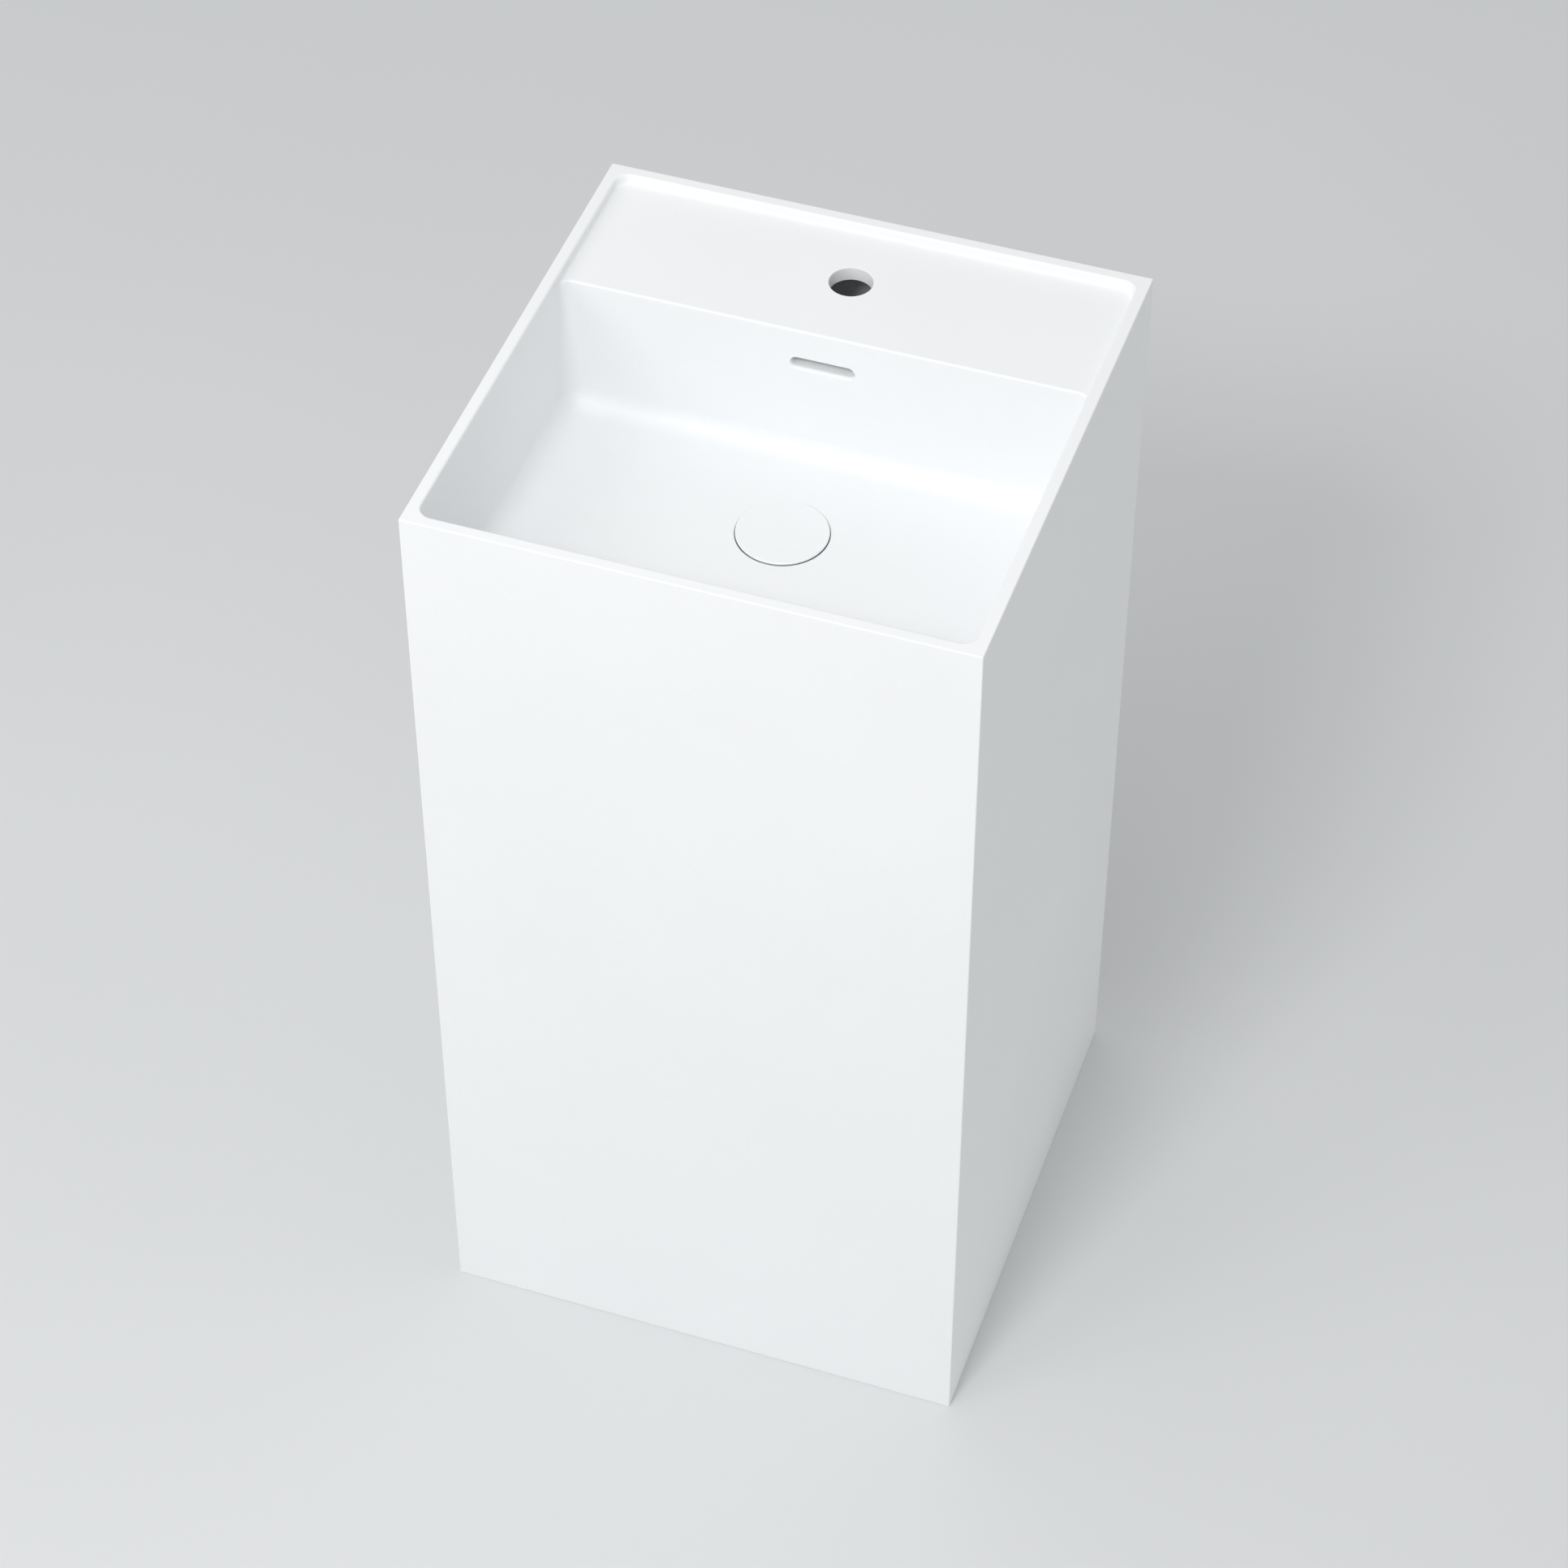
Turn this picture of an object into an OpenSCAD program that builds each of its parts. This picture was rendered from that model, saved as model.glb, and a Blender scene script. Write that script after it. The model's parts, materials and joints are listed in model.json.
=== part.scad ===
// Square column washbasin with a recessed tap deck, a push-open waste and a bottle trap.
// Millimetres. +Z is up, +Y points at the wall behind, and the origin is the middle of the base.

/* [Column] */
// Outside width of the column
column_w = 450; // [380:5:600]
// Outside depth of the column, front to back
column_d = 450; // [400:5:600]
// Height of the rim above the floor
column_h = 890; // [740:5:1080]
// Thickness of the column's walls, which is also the width of the rim
wall = 10; // [8:0.5:16]
// Width of the service opening in the rear wall
service_w = 280; // [200:5:320]
// Height of the service opening above the middle of the outlet pipe
service_over = 70; // [40:5:90]
// Corner radius of the service opening
service_r = 30; // [10:5:40]

/* [Bowl] */
// Depth of the bowl's floor below the rim
bowl_depth = 132; // [110:1:165]
// Thickness of the bowl's floor
bowl_floor = 12; // [11.5:0.5:15]
// Thickness of the wall between the bowl and the space under the tap deck
bowl_back = 12; // [10:1:16]
// Radius of the bowl's upright corners and of the curve into its floor
bowl_r = 12; // [6:1:20]

/* [Tap deck] */
// Depth of the tap deck, from its front edge to the rim behind it
deck_d = 130; // [105:1:160]
// Drop from the rim to the tap deck
deck_drop = 9; // [5:0.5:14]
// Thickness of the tap deck
deck_t = 12; // [8:0.5:16]
// Diameter of the tap hole
tap_d = 35; // [29:0.5:42]
// Distance from the deck's front edge to the middle of the tap hole
tap_in = 70; // [62:1:84]

/* [Drain] */
// Distance from the bowl's back wall to the middle of the drain
drain_in = 95; // [90:1:120]
// Diameter of the recess round the drain cover
recess_d = 77; // [72:0.5:93]
// Depth of that recess
recess_depth = 9; // [8:0.5:10]
// Diameter of the boss under the drain
boss_d = 120; // [105:1:144]
// Thickness of the boss, recess included
boss_t = 20; // [17:0.5:24]
// Width of the gap between the drain cover and its recess
cover_gap = 1.5; // [1:0.1:2.5]
// Thickness of the drain cover
cover_t = 5; // [4:0.5:6]
// Height of the drain cover above the bowl's floor
cover_proud = 2; // [1:0.5:3]
// Radius of the drain cover's edges
cover_edge = 1.2; // [0.5:0.1:1.8]
// Rise of the drain cover from shut to open
cover_lift = 9; // [6:0.5:11]

/* [Waste] */
// Outside diameter of the threaded waste tube
waste_d = 41.9; // [35:0.1:50]
// Wall of the waste tube
waste_wall = 3; // [2.5:0.1:3.5]
// Diameter of the waste's flange
flange_d = 63; // [60:0.5:68]
// Thickness of the waste's flange
flange_t = 3; // [2.5:0.1:3.6]
// Bare thread left below the backnut for the trap
thread_free = 20; // [17:0.5:24]
// Height of the overflow collar
collar_h = 35; // [30:1:42]
// Width across the flats of the backnut
backnut_af = 54; // [52:1:64]
// Height of the backnut
backnut_h = 10; // [8:0.5:12]

/* [Overflow] */
// Length of the overflow slot
slot_w = 52; // [44:1:62]
// Height of the overflow slot
slot_h = 10; // [8:0.5:12]
// Drop from the tap deck to the middle of the overflow slot
slot_drop = 32; // [29:1:38]
// Outside diameter of the spigots that the hose pushes on to
spigot_d = 19; // [17:0.5:21]
// Wall of the hose
hose_wall = 1.6; // [1.4:0.1:2]
// Height of the hose's ribs
hose_rib = 1.4; // [1:0.1:1.6]
// Radius of the hose's bend, along its middle
hose_bend = 35; // [30:1:36]

/* [Trap] */
// Outside diameter of the trap's inlet and outlet tubes
tube_d = 32; // [27:0.5:38]
// Wall of those tubes
tube_wall = 1.4; // [1.2:0.1:2]
// Drop from the waste's end to the middle of the outlet
trap_drop = 138; // [116:1:165]
// Outside diameter of the trap's head
head_d = 62; // [60:0.5:74]
// Depth of water that the trap holds over the inlet tube's mouth
water_seal = 60; // [50:1:72]

/* [Floor brackets] */
// Length of each bracket, front to back
bracket_l = 80; // [70:1:96]
// Width of the bracket's foot
bracket_foot = 40; // [34:1:48]
// Height of the bracket's upright leg
bracket_leg = 50; // [44:1:60]
// Thickness of the bracket's steel
bracket_t = 3; // [2.5:0.1:3.6]
// Distance between the two holes along each leg
bracket_pitch = 50; // [42:1:56]
// Diameter of the holes in the foot
foot_hole_d = 7; // [6:0.5:8.4]
// Diameter of the bracket's machine screws
screw_d = 6; // [5:0.5:6.5]
// Depth of the threaded inserts in the column's walls
insert_l = 7; // [5:0.5:7.5]

/* [Hidden] */

$fn = 96;
// Facets round a blended corner
blend_fn = 32;
// Overshoot of every through cut
cut = 1;
// Gap between two pieces that are screwed or pushed together
fit = 0.1;
// Gap between two pieces that slide past each other
slide = 0.35;

// Heights in the column
rim_z = column_h;
deck_z = rim_z - deck_drop;
deck_under_z = deck_z - deck_t;
floor_z = rim_z - bowl_depth;
floor_under_z = floor_z - bowl_floor;
recess_z = floor_z - recess_depth;
boss_z = floor_z - boss_t;
slot_z = deck_z - slot_drop;

// Places across the column
inner_w = column_w - 2 * wall;
inner_d = column_d - 2 * wall;
edge_y = inner_d / 2 - deck_d;
behind_y = edge_y + bowl_back;
tap_y = edge_y + tap_in;
drain_y = edge_y - drain_in;

// Waste: radii, then heights from the bowl's floor down
waste_r = waste_d / 2;
bore_r = waste_r - waste_wall;
drain_hole_r = waste_r + 2;
flange_seal_t = 1.5;
flange_z = recess_z + flange_seal_t;
seat_z = flange_z + flange_t;
seat_drop = 4.5;
seat_width = 6.25;
seat_foot_r = bore_r + 0.8;
seat_r = min(seat_foot_r + seat_width, flange_d / 2 - 2);
upper_washer_t = 3;
lower_washer_t = 2;
washer_r = waste_r + 9;
collar_z = boss_z - upper_washer_t - collar_h;
backnut_z = collar_z - lower_washer_t - backnut_h;
waste_end_z = backnut_z - thread_free;
collar_mid_z = collar_z + collar_h / 2;
collar_r = waste_r + 9;
collar_wall = 2.5;
window_w = 8;
window_h = 16;

// Drain cover and what carries it
cover_r = recess_d / 2 - cover_gap;
cover_z = floor_z + cover_proud - cover_t;
carrier_plate_z = seat_z - 0.5;
carrier_plate_r = seat_r - 1;
carrier_z = seat_z - 4;
carrier_r = bore_r - 0.5;
seal_z = seat_z - 3;
stem_r = 3.5;
stem_grip = 3;

// Push-open cartridge, from its cap down to its nut
cap_top_z = carrier_z - 1.5;
cap_t = 5.5;
cap_z = cap_top_z - cap_t;
cap_skirt = 6;
cap_wall = 1.5;
cartridge_r = 9;
cartridge_bore_r = 7.2;
head_top_z = cap_z - 0.5 - cover_lift;
head_h = 6;
head_z = head_top_z - head_h;
ratchet_h = 3;
ratchet_tooth = 1.5;
ratchet_teeth = 8;
ratchet_notch = 2.2;
ratchet_z = head_z - 0.5 - ratchet_tooth - ratchet_h;
pin_r = 2.8;
pin_l = 11;
spring_l = 14;
spring_z = ratchet_z - spring_l;
spring_wire_r = 0.55;
spring_r = 5.2;
spring_turns = 6;
cartridge_floor = 2;
cartridge_z = spring_z - cartridge_floor;
spider_h = 8;
spider_r = 8;
spider_arm = 3;
spider_z = cartridge_z - spider_h;
stub_r = 4;
cartridge_nut_h = 6;
cartridge_nut_af = 13;
stub_z = spider_z - cartridge_nut_h - 2;

// Overflow: gasket, housing, hose
gasket_t = 2;
gasket_edge = 4;
housing_wall = 3;
housing_flange_w = slot_w + 2 * 20;
housing_flange_h = slot_h + 2 * 9;
housing_in_w = slot_w + 6;
housing_in_h = slot_h + 6;
spigot_r = spigot_d / 2;
spigot_bore_r = spigot_r - 2;
spigot_l = 26;
hose_in_r = spigot_r + fit;
hose_out_r = hose_in_r + hose_wall;
hose_rib_r = hose_out_r + hose_rib;
hose_rib_t = 2;
hose_rib_pitch = 5;
hose_cuff = 16;
hose_y = behind_y + hose_rib_r + 3.5;
housing_y = behind_y + gasket_t;
housing_back_y = hose_y + spigot_r + 2;
housing_under_z = slot_z - housing_in_h / 2 - housing_wall;
hose_top_z = housing_under_z - 4;
hose_front_y = drain_y + collar_r + 3;
clip_w = 8;
clip_t = 1;
overflow_screw_d = 4;
overflow_screw_l = 9;
overflow_screw_x = housing_flange_w / 2 - 8;

// Trap, whose middle stands under the drain
tube_r = tube_d / 2;
outlet_z = waste_end_z - trap_drop;
inlet_washer_t = 3;
tube_flange_t = 2;
tube_flange_r = waste_r - 0.5;
nut_lip = 3;
nut_wall = 4.5;
inlet_nut_h = 20;
inlet_nut_z = waste_end_z - inlet_washer_t - tube_flange_t - nut_lip;
head_r = max(head_d / 2, tube_r + 13);
head_wall = 3.5;
head_over = tube_r + 6;
head_under = tube_r + 22;
socket_r = tube_r + 6;
socket_l = 14;
seal_t = 4;
small_nut_h = 17;
stub_reach = head_r + 25;
stub_socket_y = head_r + 5;
cup_seal_t = 3;
cup_rim_h = 17;
cup_wall = 3;
cup_rim_r = head_r + fit + 3.5;
cup_top_z = outlet_z - head_under - cup_seal_t;
tube_mouth_z = outlet_z - tube_r - water_seal;
cup_floor_z = tube_mouth_z - 26;
grip_ribs = 12;
grip_r = 1.6;
bead_y = stub_reach + seal_t + nut_lip + 8;
bead_w = 2;
bead_h = 1.5;
pipe_end_y = column_d / 2 - 3;

// Brackets
screw_head_r = screw_d * 0.9;
screw_head_h = screw_d * 0.55;
insert_r = screw_d / 2 + 1.3;
bracket_hole_z = 32;
foot_hole_in = 22;
service_top_z = outlet_z + service_over;

// Points along an arc from angle a to angle b
function arc(cx, cy, r, a, b, n) = [
    for (i = [0 : n]) [cx + r * cos(a + (b - a) * i / n), cy + r * sin(a + (b - a) * i / n)]];

// Radius of the waste's seat at height z
function seat_at(z) = seat_foot_r + (seat_r - seat_foot_r) * (z - seat_z + seat_drop) / seat_drop;

// A flat ring that stands on z = 0
module ring(outer_r, inner_r, h) {
    difference() {
        cylinder(r = outer_r, h = h);
        translate([0, 0, -cut]) cylinder(r = inner_r, h = h + 2 * cut);
    }
}

// A slot's outline, l by h over its round ends, drawn out along +Y by depth
module slot(l, h, depth) {
    rotate([-90, 0, 0]) linear_extrude(height = depth) {
        square([l - h, h], center = true);
        for (side = [-1, 1]) translate([side * (l - h) / 2, 0]) circle(d = h);
    }
}

// Puts its children on the drain's upright axis, at height z
module at_drain(z) {
    translate([0, drain_y, z]) children();
}

// A hexagon nut's outside, with its corners turned off at both ends
module hex_nut(af, h) {
    corner_r = af / 2 / cos(30);
    turned = corner_r - af / 2;
    intersection() {
        cylinder(r = corner_r, h = h, $fn = 6);
        rotate_extrude() polygon([
            [0, 0], [af / 2, 0], [corner_r, turned / 2], [corner_r, h - turned / 2],
            [af / 2, h], [0, h]]);
    }
}

// A union nut open at z = 0, with a lip that holds a tube or seal at its far end
module union_nut(thread_r, hole_r, h) {
    outer_r = thread_r + nut_wall;
    difference() {
        union() {
            cylinder(r = outer_r, h = h - 1.5);
            translate([0, 0, h - 1.5]) cylinder(r1 = outer_r, r2 = outer_r - 1.5, h = 1.5);
            for (i = [0 : grip_ribs - 1]) rotate(i * 360 / grip_ribs)
                translate([outer_r, 0, 0]) cylinder(r = grip_r, h = h - 3, $fn = 24);
        }
        translate([0, 0, -cut]) cylinder(r = thread_r, h = h - nut_lip + cut);
        cylinder(r = hole_r, h = h + cut);
    }
}

// A wedge-shaped compression seal, thin at its far end
module cone_seal(inner_r, outer_r, h) {
    rotate_extrude() polygon([
        [inner_r, 0], [outer_r, 0], [outer_r, h / 2], [inner_r + 2, h], [inner_r, h]]);
}

// ---- The body, bonded from sheets of one stone ----

module stone() {
    color([0.96, 0.965, 0.97]) children();
}

// The opening in the rear wall, from the floor up, with round upper corners
module service_space() {
    hull() {
        for (x = [-1, 1])
            translate([x * (service_w / 2 - service_r), inner_d / 2 - cut, service_top_z - service_r])
                rotate([-90, 0, 0]) cylinder(r = service_r, h = wall + 2 * cut, $fn = blend_fn);
        translate([-service_w / 2, inner_d / 2 - cut, -cut]) cube([service_w, wall + 2 * cut, cut]);
    }
}

// Places for the wall screws of both brackets, each with +Z running out through the wall
module at_bracket_screws() {
    for (side = [-1, 1], y = [-1, 1])
        translate([side * inner_w / 2, y * bracket_pitch / 2, bracket_hole_z])
            rotate([0, side * 90, 0]) children();
}

// Places for the two screws of the overflow housing, each with +Z running into the bowl's wall
module at_overflow_screws() {
    for (side = [-1, 1])
        translate([side * overflow_screw_x, housing_y + housing_wall, slot_z])
            rotate([90, 0, 0]) children();
}

module front_panel() {
    stone() translate([-column_w / 2, -column_d / 2, 0]) cube([column_w, wall, column_h]);
}

module rear_panel() {
    stone() difference() {
        translate([-column_w / 2, inner_d / 2, 0]) cube([column_w, wall, column_h]);
        service_space();
    }
}

// A side between the front and rear panels, drilled for its bracket's inserts
module side_panel(side) {
    stone() difference() {
        translate([side * (inner_w + wall) / 2 - wall / 2, -inner_d / 2, 0])
            cube([wall, inner_d, column_h]);
        at_bracket_screws() translate([0, 0, -cut]) cylinder(r = insert_r, h = insert_l + cut);
    }
}

module left_panel() {
    side_panel(-1);
}

module right_panel() {
    side_panel(1);
}

// The bowl's floor, with the recess and the hole for the waste
module bowl_base() {
    stone() difference() {
        translate([-inner_w / 2, -inner_d / 2, floor_under_z])
            cube([inner_w, behind_y + inner_d / 2, bowl_floor]);
        at_drain(recess_z) cylinder(d = recess_d, h = recess_depth + cut);
        at_drain(floor_under_z - cut) cylinder(r = drain_hole_r, h = bowl_floor + 2 * cut);
    }
}

// A disc that thickens the floor round the waste
module drain_boss() {
    stone() at_drain(boss_z) ring(boss_d / 2, drain_hole_r, boss_t - bowl_floor);
}

// The wall between the bowl and the space under the tap deck
module bowl_wall() {
    stone() difference() {
        translate([-inner_w / 2, edge_y, floor_z]) cube([inner_w, bowl_back, deck_under_z - floor_z]);
        translate([0, edge_y - cut, slot_z]) slot(slot_w, slot_h, bowl_back + 2 * cut);
        at_overflow_screws() cylinder(d = overflow_screw_d, h = housing_wall + gasket_t + overflow_screw_l);
    }
}

// The tap deck, whose rear corners follow the strips that round the recess over it
module deck_panel() {
    stone() difference() {
        translate([0, 0, deck_under_z]) linear_extrude(height = deck_t) {
            translate([-inner_w / 2, edge_y]) square([inner_w, deck_d - bowl_r]);
            translate([bowl_r - inner_w / 2, edge_y]) square([inner_w - 2 * bowl_r, deck_d]);
            for (side = [-1, 1]) translate([side * (inner_w / 2 - bowl_r), inner_d / 2 - bowl_r])
                circle(r = bowl_r);
        }
        translate([0, tap_y, deck_under_z - cut]) cylinder(d = tap_d, h = deck_t + 2 * cut);
    }
}

// A strip along +X whose square edge lies on the X axis and whose open face is hollowed
module lying_cove(l) {
    difference() {
        cube([l, bowl_r, bowl_r]);
        translate([-cut, bowl_r, bowl_r]) rotate([0, 90, 0]) cylinder(r = bowl_r, h = l + 2 * cut);
    }
}

// The same strip, standing on z = 0
module upright_cove(h) {
    difference() {
        cube([bowl_r, bowl_r, h]);
        translate([bowl_r, bowl_r, -cut]) cylinder(r = bowl_r, h = h + 2 * cut);
    }
}

// The strips that blend the bowl's floor into its walls, with a block in each corner
module floor_coves() {
    mid_y = (edge_y - inner_d / 2) / 2;
    half_d = (edge_y + inner_d / 2) / 2;
    run_x = inner_w - 2 * bowl_r;
    run_y = 2 * half_d - 2 * bowl_r;
    stone() translate([0, mid_y, floor_z]) {
        for (x = [0, 1], y = [0, 1]) mirror([x, 0, 0]) mirror([0, y, 0])
            translate([-inner_w / 2, -half_d, 0]) difference() {
                cube(bowl_r);
                translate([bowl_r, bowl_r, bowl_r]) sphere(r = bowl_r);
            }
        for (y = [0, 1]) mirror([0, y, 0]) translate([-run_x / 2, -half_d, 0]) lying_cove(run_x);
        for (x = [0, 1]) mirror([x, 0, 0]) translate([-inner_w / 2, -run_y / 2, 0])
            mirror([1, 0, 0]) rotate([0, 0, 90]) lying_cove(run_y);
    }
}

// The strips that round the upright corners of the bowl and of the recess over the deck
module corner_coves() {
    foot_z = floor_z + bowl_r;
    stone() for (x = [0, 1]) mirror([x, 0, 0]) {
        translate([-inner_w / 2, -inner_d / 2, foot_z]) upright_cove(rim_z - foot_z);
        translate([-inner_w / 2, edge_y, foot_z]) mirror([0, 1, 0]) upright_cove(deck_z - foot_z);
        translate([-inner_w / 2, inner_d / 2, deck_under_z]) mirror([0, 1, 0])
            upright_cove(rim_z - deck_under_z);
    }
}

// ---- The drain cover and its cartridge ----

module drain_cover() {
    e = cover_edge;
    color([0.97, 0.97, 0.975]) at_drain(cover_z) rotate_extrude() polygon(concat(
        [[0, 0]],
        arc(cover_r - e / 2, e / 2, e / 2, -90, 0, 4),
        arc(cover_r - e, cover_t - e, e, 0, 90, 6),
        [[0, cover_t]]));
}

module cover_carrier() {
    hole_r = stem_r + fit;
    color([0.75, 0.62, 0.35]) at_drain(0) rotate_extrude() polygon([
        [hole_r, carrier_z], [carrier_r, carrier_z], [carrier_r, carrier_plate_z],
        [carrier_plate_r, carrier_plate_z], [carrier_plate_r, cover_z], [0, cover_z],
        [0, carrier_z + stem_grip + fit], [hole_r, carrier_z + stem_grip + fit]]);
}

module cover_seal() {
    color([0.12, 0.12, 0.12]) at_drain(0) rotate_extrude() polygon([
        [carrier_r, seal_z], [seat_at(seal_z) - slide, seal_z],
        [seat_at(carrier_plate_z) - slide, carrier_plate_z], [carrier_r, carrier_plate_z]]);
}

module push_stem() {
    color([0.8, 0.68, 0.4]) at_drain(0) rotate_extrude() polygon([
        [0, head_z - pin_l], [pin_r, head_z - pin_l], [pin_r, head_z],
        [cartridge_bore_r - slide, head_z], [cartridge_bore_r - slide, head_top_z],
        [stem_r, head_top_z], [stem_r, carrier_z + stem_grip], [0, carrier_z + stem_grip]]);
}

// A ring with wedge teeth that turns one step each time the cover is pushed
module ratchet_ring() {
    outer_r = cartridge_bore_r - slide;
    inner_r = pin_r + slide;
    color([0.9, 0.9, 0.88]) at_drain(ratchet_z) difference() {
        ring(outer_r, inner_r, ratchet_h + ratchet_tooth);
        for (i = [0 : ratchet_teeth - 1]) rotate(i * 360 / ratchet_teeth)
            translate([0, -ratchet_notch / 2, ratchet_h])
                cube([outer_r + cut, ratchet_notch, ratchet_tooth + cut]);
    }
}

// A coil of round wire whose ends are cut off flat
module cartridge_spring() {
    sides = 6;
    steps = 18;
    rings = spring_turns * steps;
    rise = spring_l - 2 * spring_wire_r;
    function coil_point(i, j) = let (turn = i * 360 / steps, a = j * 360 / sides,
        r = spring_r + spring_wire_r * cos(a))
        [r * cos(turn), r * sin(turn), spring_wire_r * (1 + sin(a)) + rise * i / rings];
    points = [for (i = [0 : rings], j = [0 : sides - 1]) coil_point(i, j)];
    quads = [for (i = [0 : rings - 1], j = [0 : sides - 1]) let (k = (j + 1) % sides)
        [i * sides + j, i * sides + k, (i + 1) * sides + k, (i + 1) * sides + j]];
    ends = [[for (j = [sides - 1 : -1 : 0]) j], [for (j = [0 : sides - 1]) rings * sides + j]];
    color([0.7, 0.7, 0.72]) at_drain(spring_z) polyhedron(points, concat(quads, ends));
}

module cartridge_body() {
    color([0.75, 0.62, 0.35]) at_drain(0) rotate_extrude() polygon([
        [0, stub_z], [stub_r, stub_z], [stub_r, cartridge_z], [cartridge_r, cartridge_z],
        [cartridge_r, cap_z], [cartridge_bore_r, cap_z],
        [cartridge_bore_r, cartridge_z + cartridge_floor], [0, cartridge_z + cartridge_floor]]);
}

module cartridge_cap() {
    outer_r = cartridge_r + fit + cap_wall;
    color([0.8, 0.8, 0.82]) at_drain(0) rotate_extrude() polygon([
        [stem_r + slide, cap_z], [cartridge_r + fit, cap_z], [cartridge_r + fit, cap_z - cap_skirt],
        [outer_r, cap_z - cap_skirt], [outer_r, cap_top_z - 1], [outer_r - 1, cap_top_z],
        [stem_r + slide, cap_top_z]]);
}

module cartridge_nut() {
    color([0.75, 0.62, 0.35]) at_drain(spider_z - cartridge_nut_h) difference() {
        hex_nut(cartridge_nut_af, cartridge_nut_h);
        translate([0, 0, -cut]) cylinder(r = stub_r + fit, h = cartridge_nut_h + 2 * cut);
    }
}

// ---- The waste and its clamping stack ----

module waste_body() {
    color([0.82, 0.83, 0.85]) at_drain(0) {
        difference() {
            rotate_extrude() polygon([
                [bore_r, waste_end_z], [waste_r, waste_end_z], [waste_r, flange_z],
                [flange_d / 2, flange_z], [flange_d / 2, seat_z - 1], [flange_d / 2 - 1, seat_z],
                [seat_r, seat_z], [seat_foot_r, seat_z - seat_drop], [bore_r, seat_z - seat_drop]]);
            for (a = [45 : 90 : 315]) rotate(a)
                translate([bore_r - cut, -window_w / 2, collar_mid_z - window_h / 2])
                    cube([waste_wall + 2 * cut, window_w, window_h]);
        }
        translate([0, 0, spider_z]) difference() {
            union() {
                cylinder(r = spider_r, h = spider_h);
                for (a = [0 : 90 : 270]) rotate(a) translate([0, -spider_arm / 2, 0])
                    cube([bore_r + waste_wall / 2, spider_arm, spider_h]);
            }
            translate([0, 0, -cut]) cylinder(r = stub_r + fit, h = spider_h + 2 * cut);
        }
    }
}

module flange_seal() {
    color([0.85, 0.85, 0.83]) at_drain(recess_z)
        ring(flange_d / 2 - 0.5, waste_r + slide, flange_seal_t);
}

module upper_washer() {
    color([0.12, 0.12, 0.12]) at_drain(boss_z - upper_washer_t)
        ring(washer_r, waste_r + slide, upper_washer_t);
}

// A hollow ring that gathers the overflow's water round the waste's windows
module overflow_collar() {
    color([0.9, 0.9, 0.9]) at_drain(collar_z) difference() {
        union() {
            cylinder(r = collar_r, h = collar_h);
            translate([0, 0, collar_h / 2]) rotate([-90, 0, 0])
                cylinder(r = spigot_r, h = collar_r + spigot_l);
        }
        translate([0, 0, collar_wall]) cylinder(r = collar_r - collar_wall, h = collar_h - 2 * collar_wall);
        translate([0, 0, -cut]) cylinder(r = waste_r + slide, h = collar_h + 2 * cut);
        translate([0, 0, collar_h / 2]) rotate([-90, 0, 0])
            cylinder(r = spigot_bore_r, h = collar_r + spigot_l + cut);
    }
}

module lower_washer() {
    color([0.12, 0.12, 0.12]) at_drain(collar_z - lower_washer_t)
        ring(washer_r - 2, waste_r + slide, lower_washer_t);
}

module backnut() {
    color([0.78, 0.66, 0.38]) at_drain(backnut_z) difference() {
        hex_nut(backnut_af, backnut_h);
        translate([0, 0, -cut]) cylinder(r = waste_r + fit, h = backnut_h + 2 * cut);
    }
}

// ---- The overflow ----

module overflow_gasket() {
    color([0.15, 0.15, 0.15]) translate([0, behind_y, slot_z]) difference() {
        slot(housing_in_w + 2 * gasket_edge, housing_in_h + 2 * gasket_edge, gasket_t);
        translate([0, -cut, 0]) slot(slot_w, slot_h, gasket_t + 2 * cut);
    }
}

// A flanged box over the slot, with a spigot down into the hose
module overflow_housing() {
    box_d = housing_back_y - housing_y;
    color([0.93, 0.93, 0.93]) difference() {
        union() {
            translate([0, housing_y, slot_z]) slot(housing_flange_w, housing_flange_h, housing_wall);
            translate([0, housing_y, slot_z])
                slot(housing_in_w + 2 * housing_wall, housing_in_h + 2 * housing_wall, box_d);
            translate([0, hose_y, housing_under_z - spigot_l])
                cylinder(r = spigot_r, h = spigot_l + housing_wall);
        }
        translate([0, housing_y - cut, slot_z])
            slot(housing_in_w, housing_in_h, box_d - housing_wall + cut);
        translate([0, hose_y, housing_under_z - spigot_l - cut])
            cylinder(r = spigot_bore_r, h = spigot_l + housing_in_h);
        at_overflow_screws() translate([0, 0, -cut])
            cylinder(d = overflow_screw_d + 2 * fit, h = housing_wall + 2 * cut);
    }
}

module overflow_screws() {
    head_r = overflow_screw_d;
    color([0.8, 0.8, 0.82]) at_overflow_screws() {
        translate([0, 0, -1.2]) cylinder(r = head_r, h = 1.2);
        translate([0, 0, -2.4]) cylinder(r1 = head_r - 1.6, r2 = head_r, h = 1.2);
        cylinder(r = overflow_screw_d / 2 - fit / 2, h = housing_wall + gasket_t + overflow_screw_l - 1);
    }
}

// The hose's line, as a solid of radius r: down behind the bowl, round the bend, to the collar
module hose_line(r, over) {
    bend_y = hose_y - hose_bend;
    bend_z = collar_mid_z + hose_bend;
    translate([0, hose_y, bend_z]) cylinder(r = r, h = hose_top_z - bend_z + over);
    translate([0, bend_y, bend_z]) rotate([90, 90, 90])
        rotate_extrude(angle = 90) translate([hose_bend, 0]) circle(r = r);
    translate([0, hose_front_y - over, collar_mid_z]) rotate([-90, 0, 0])
        cylinder(r = r, h = bend_y - hose_front_y + over);
}

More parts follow.
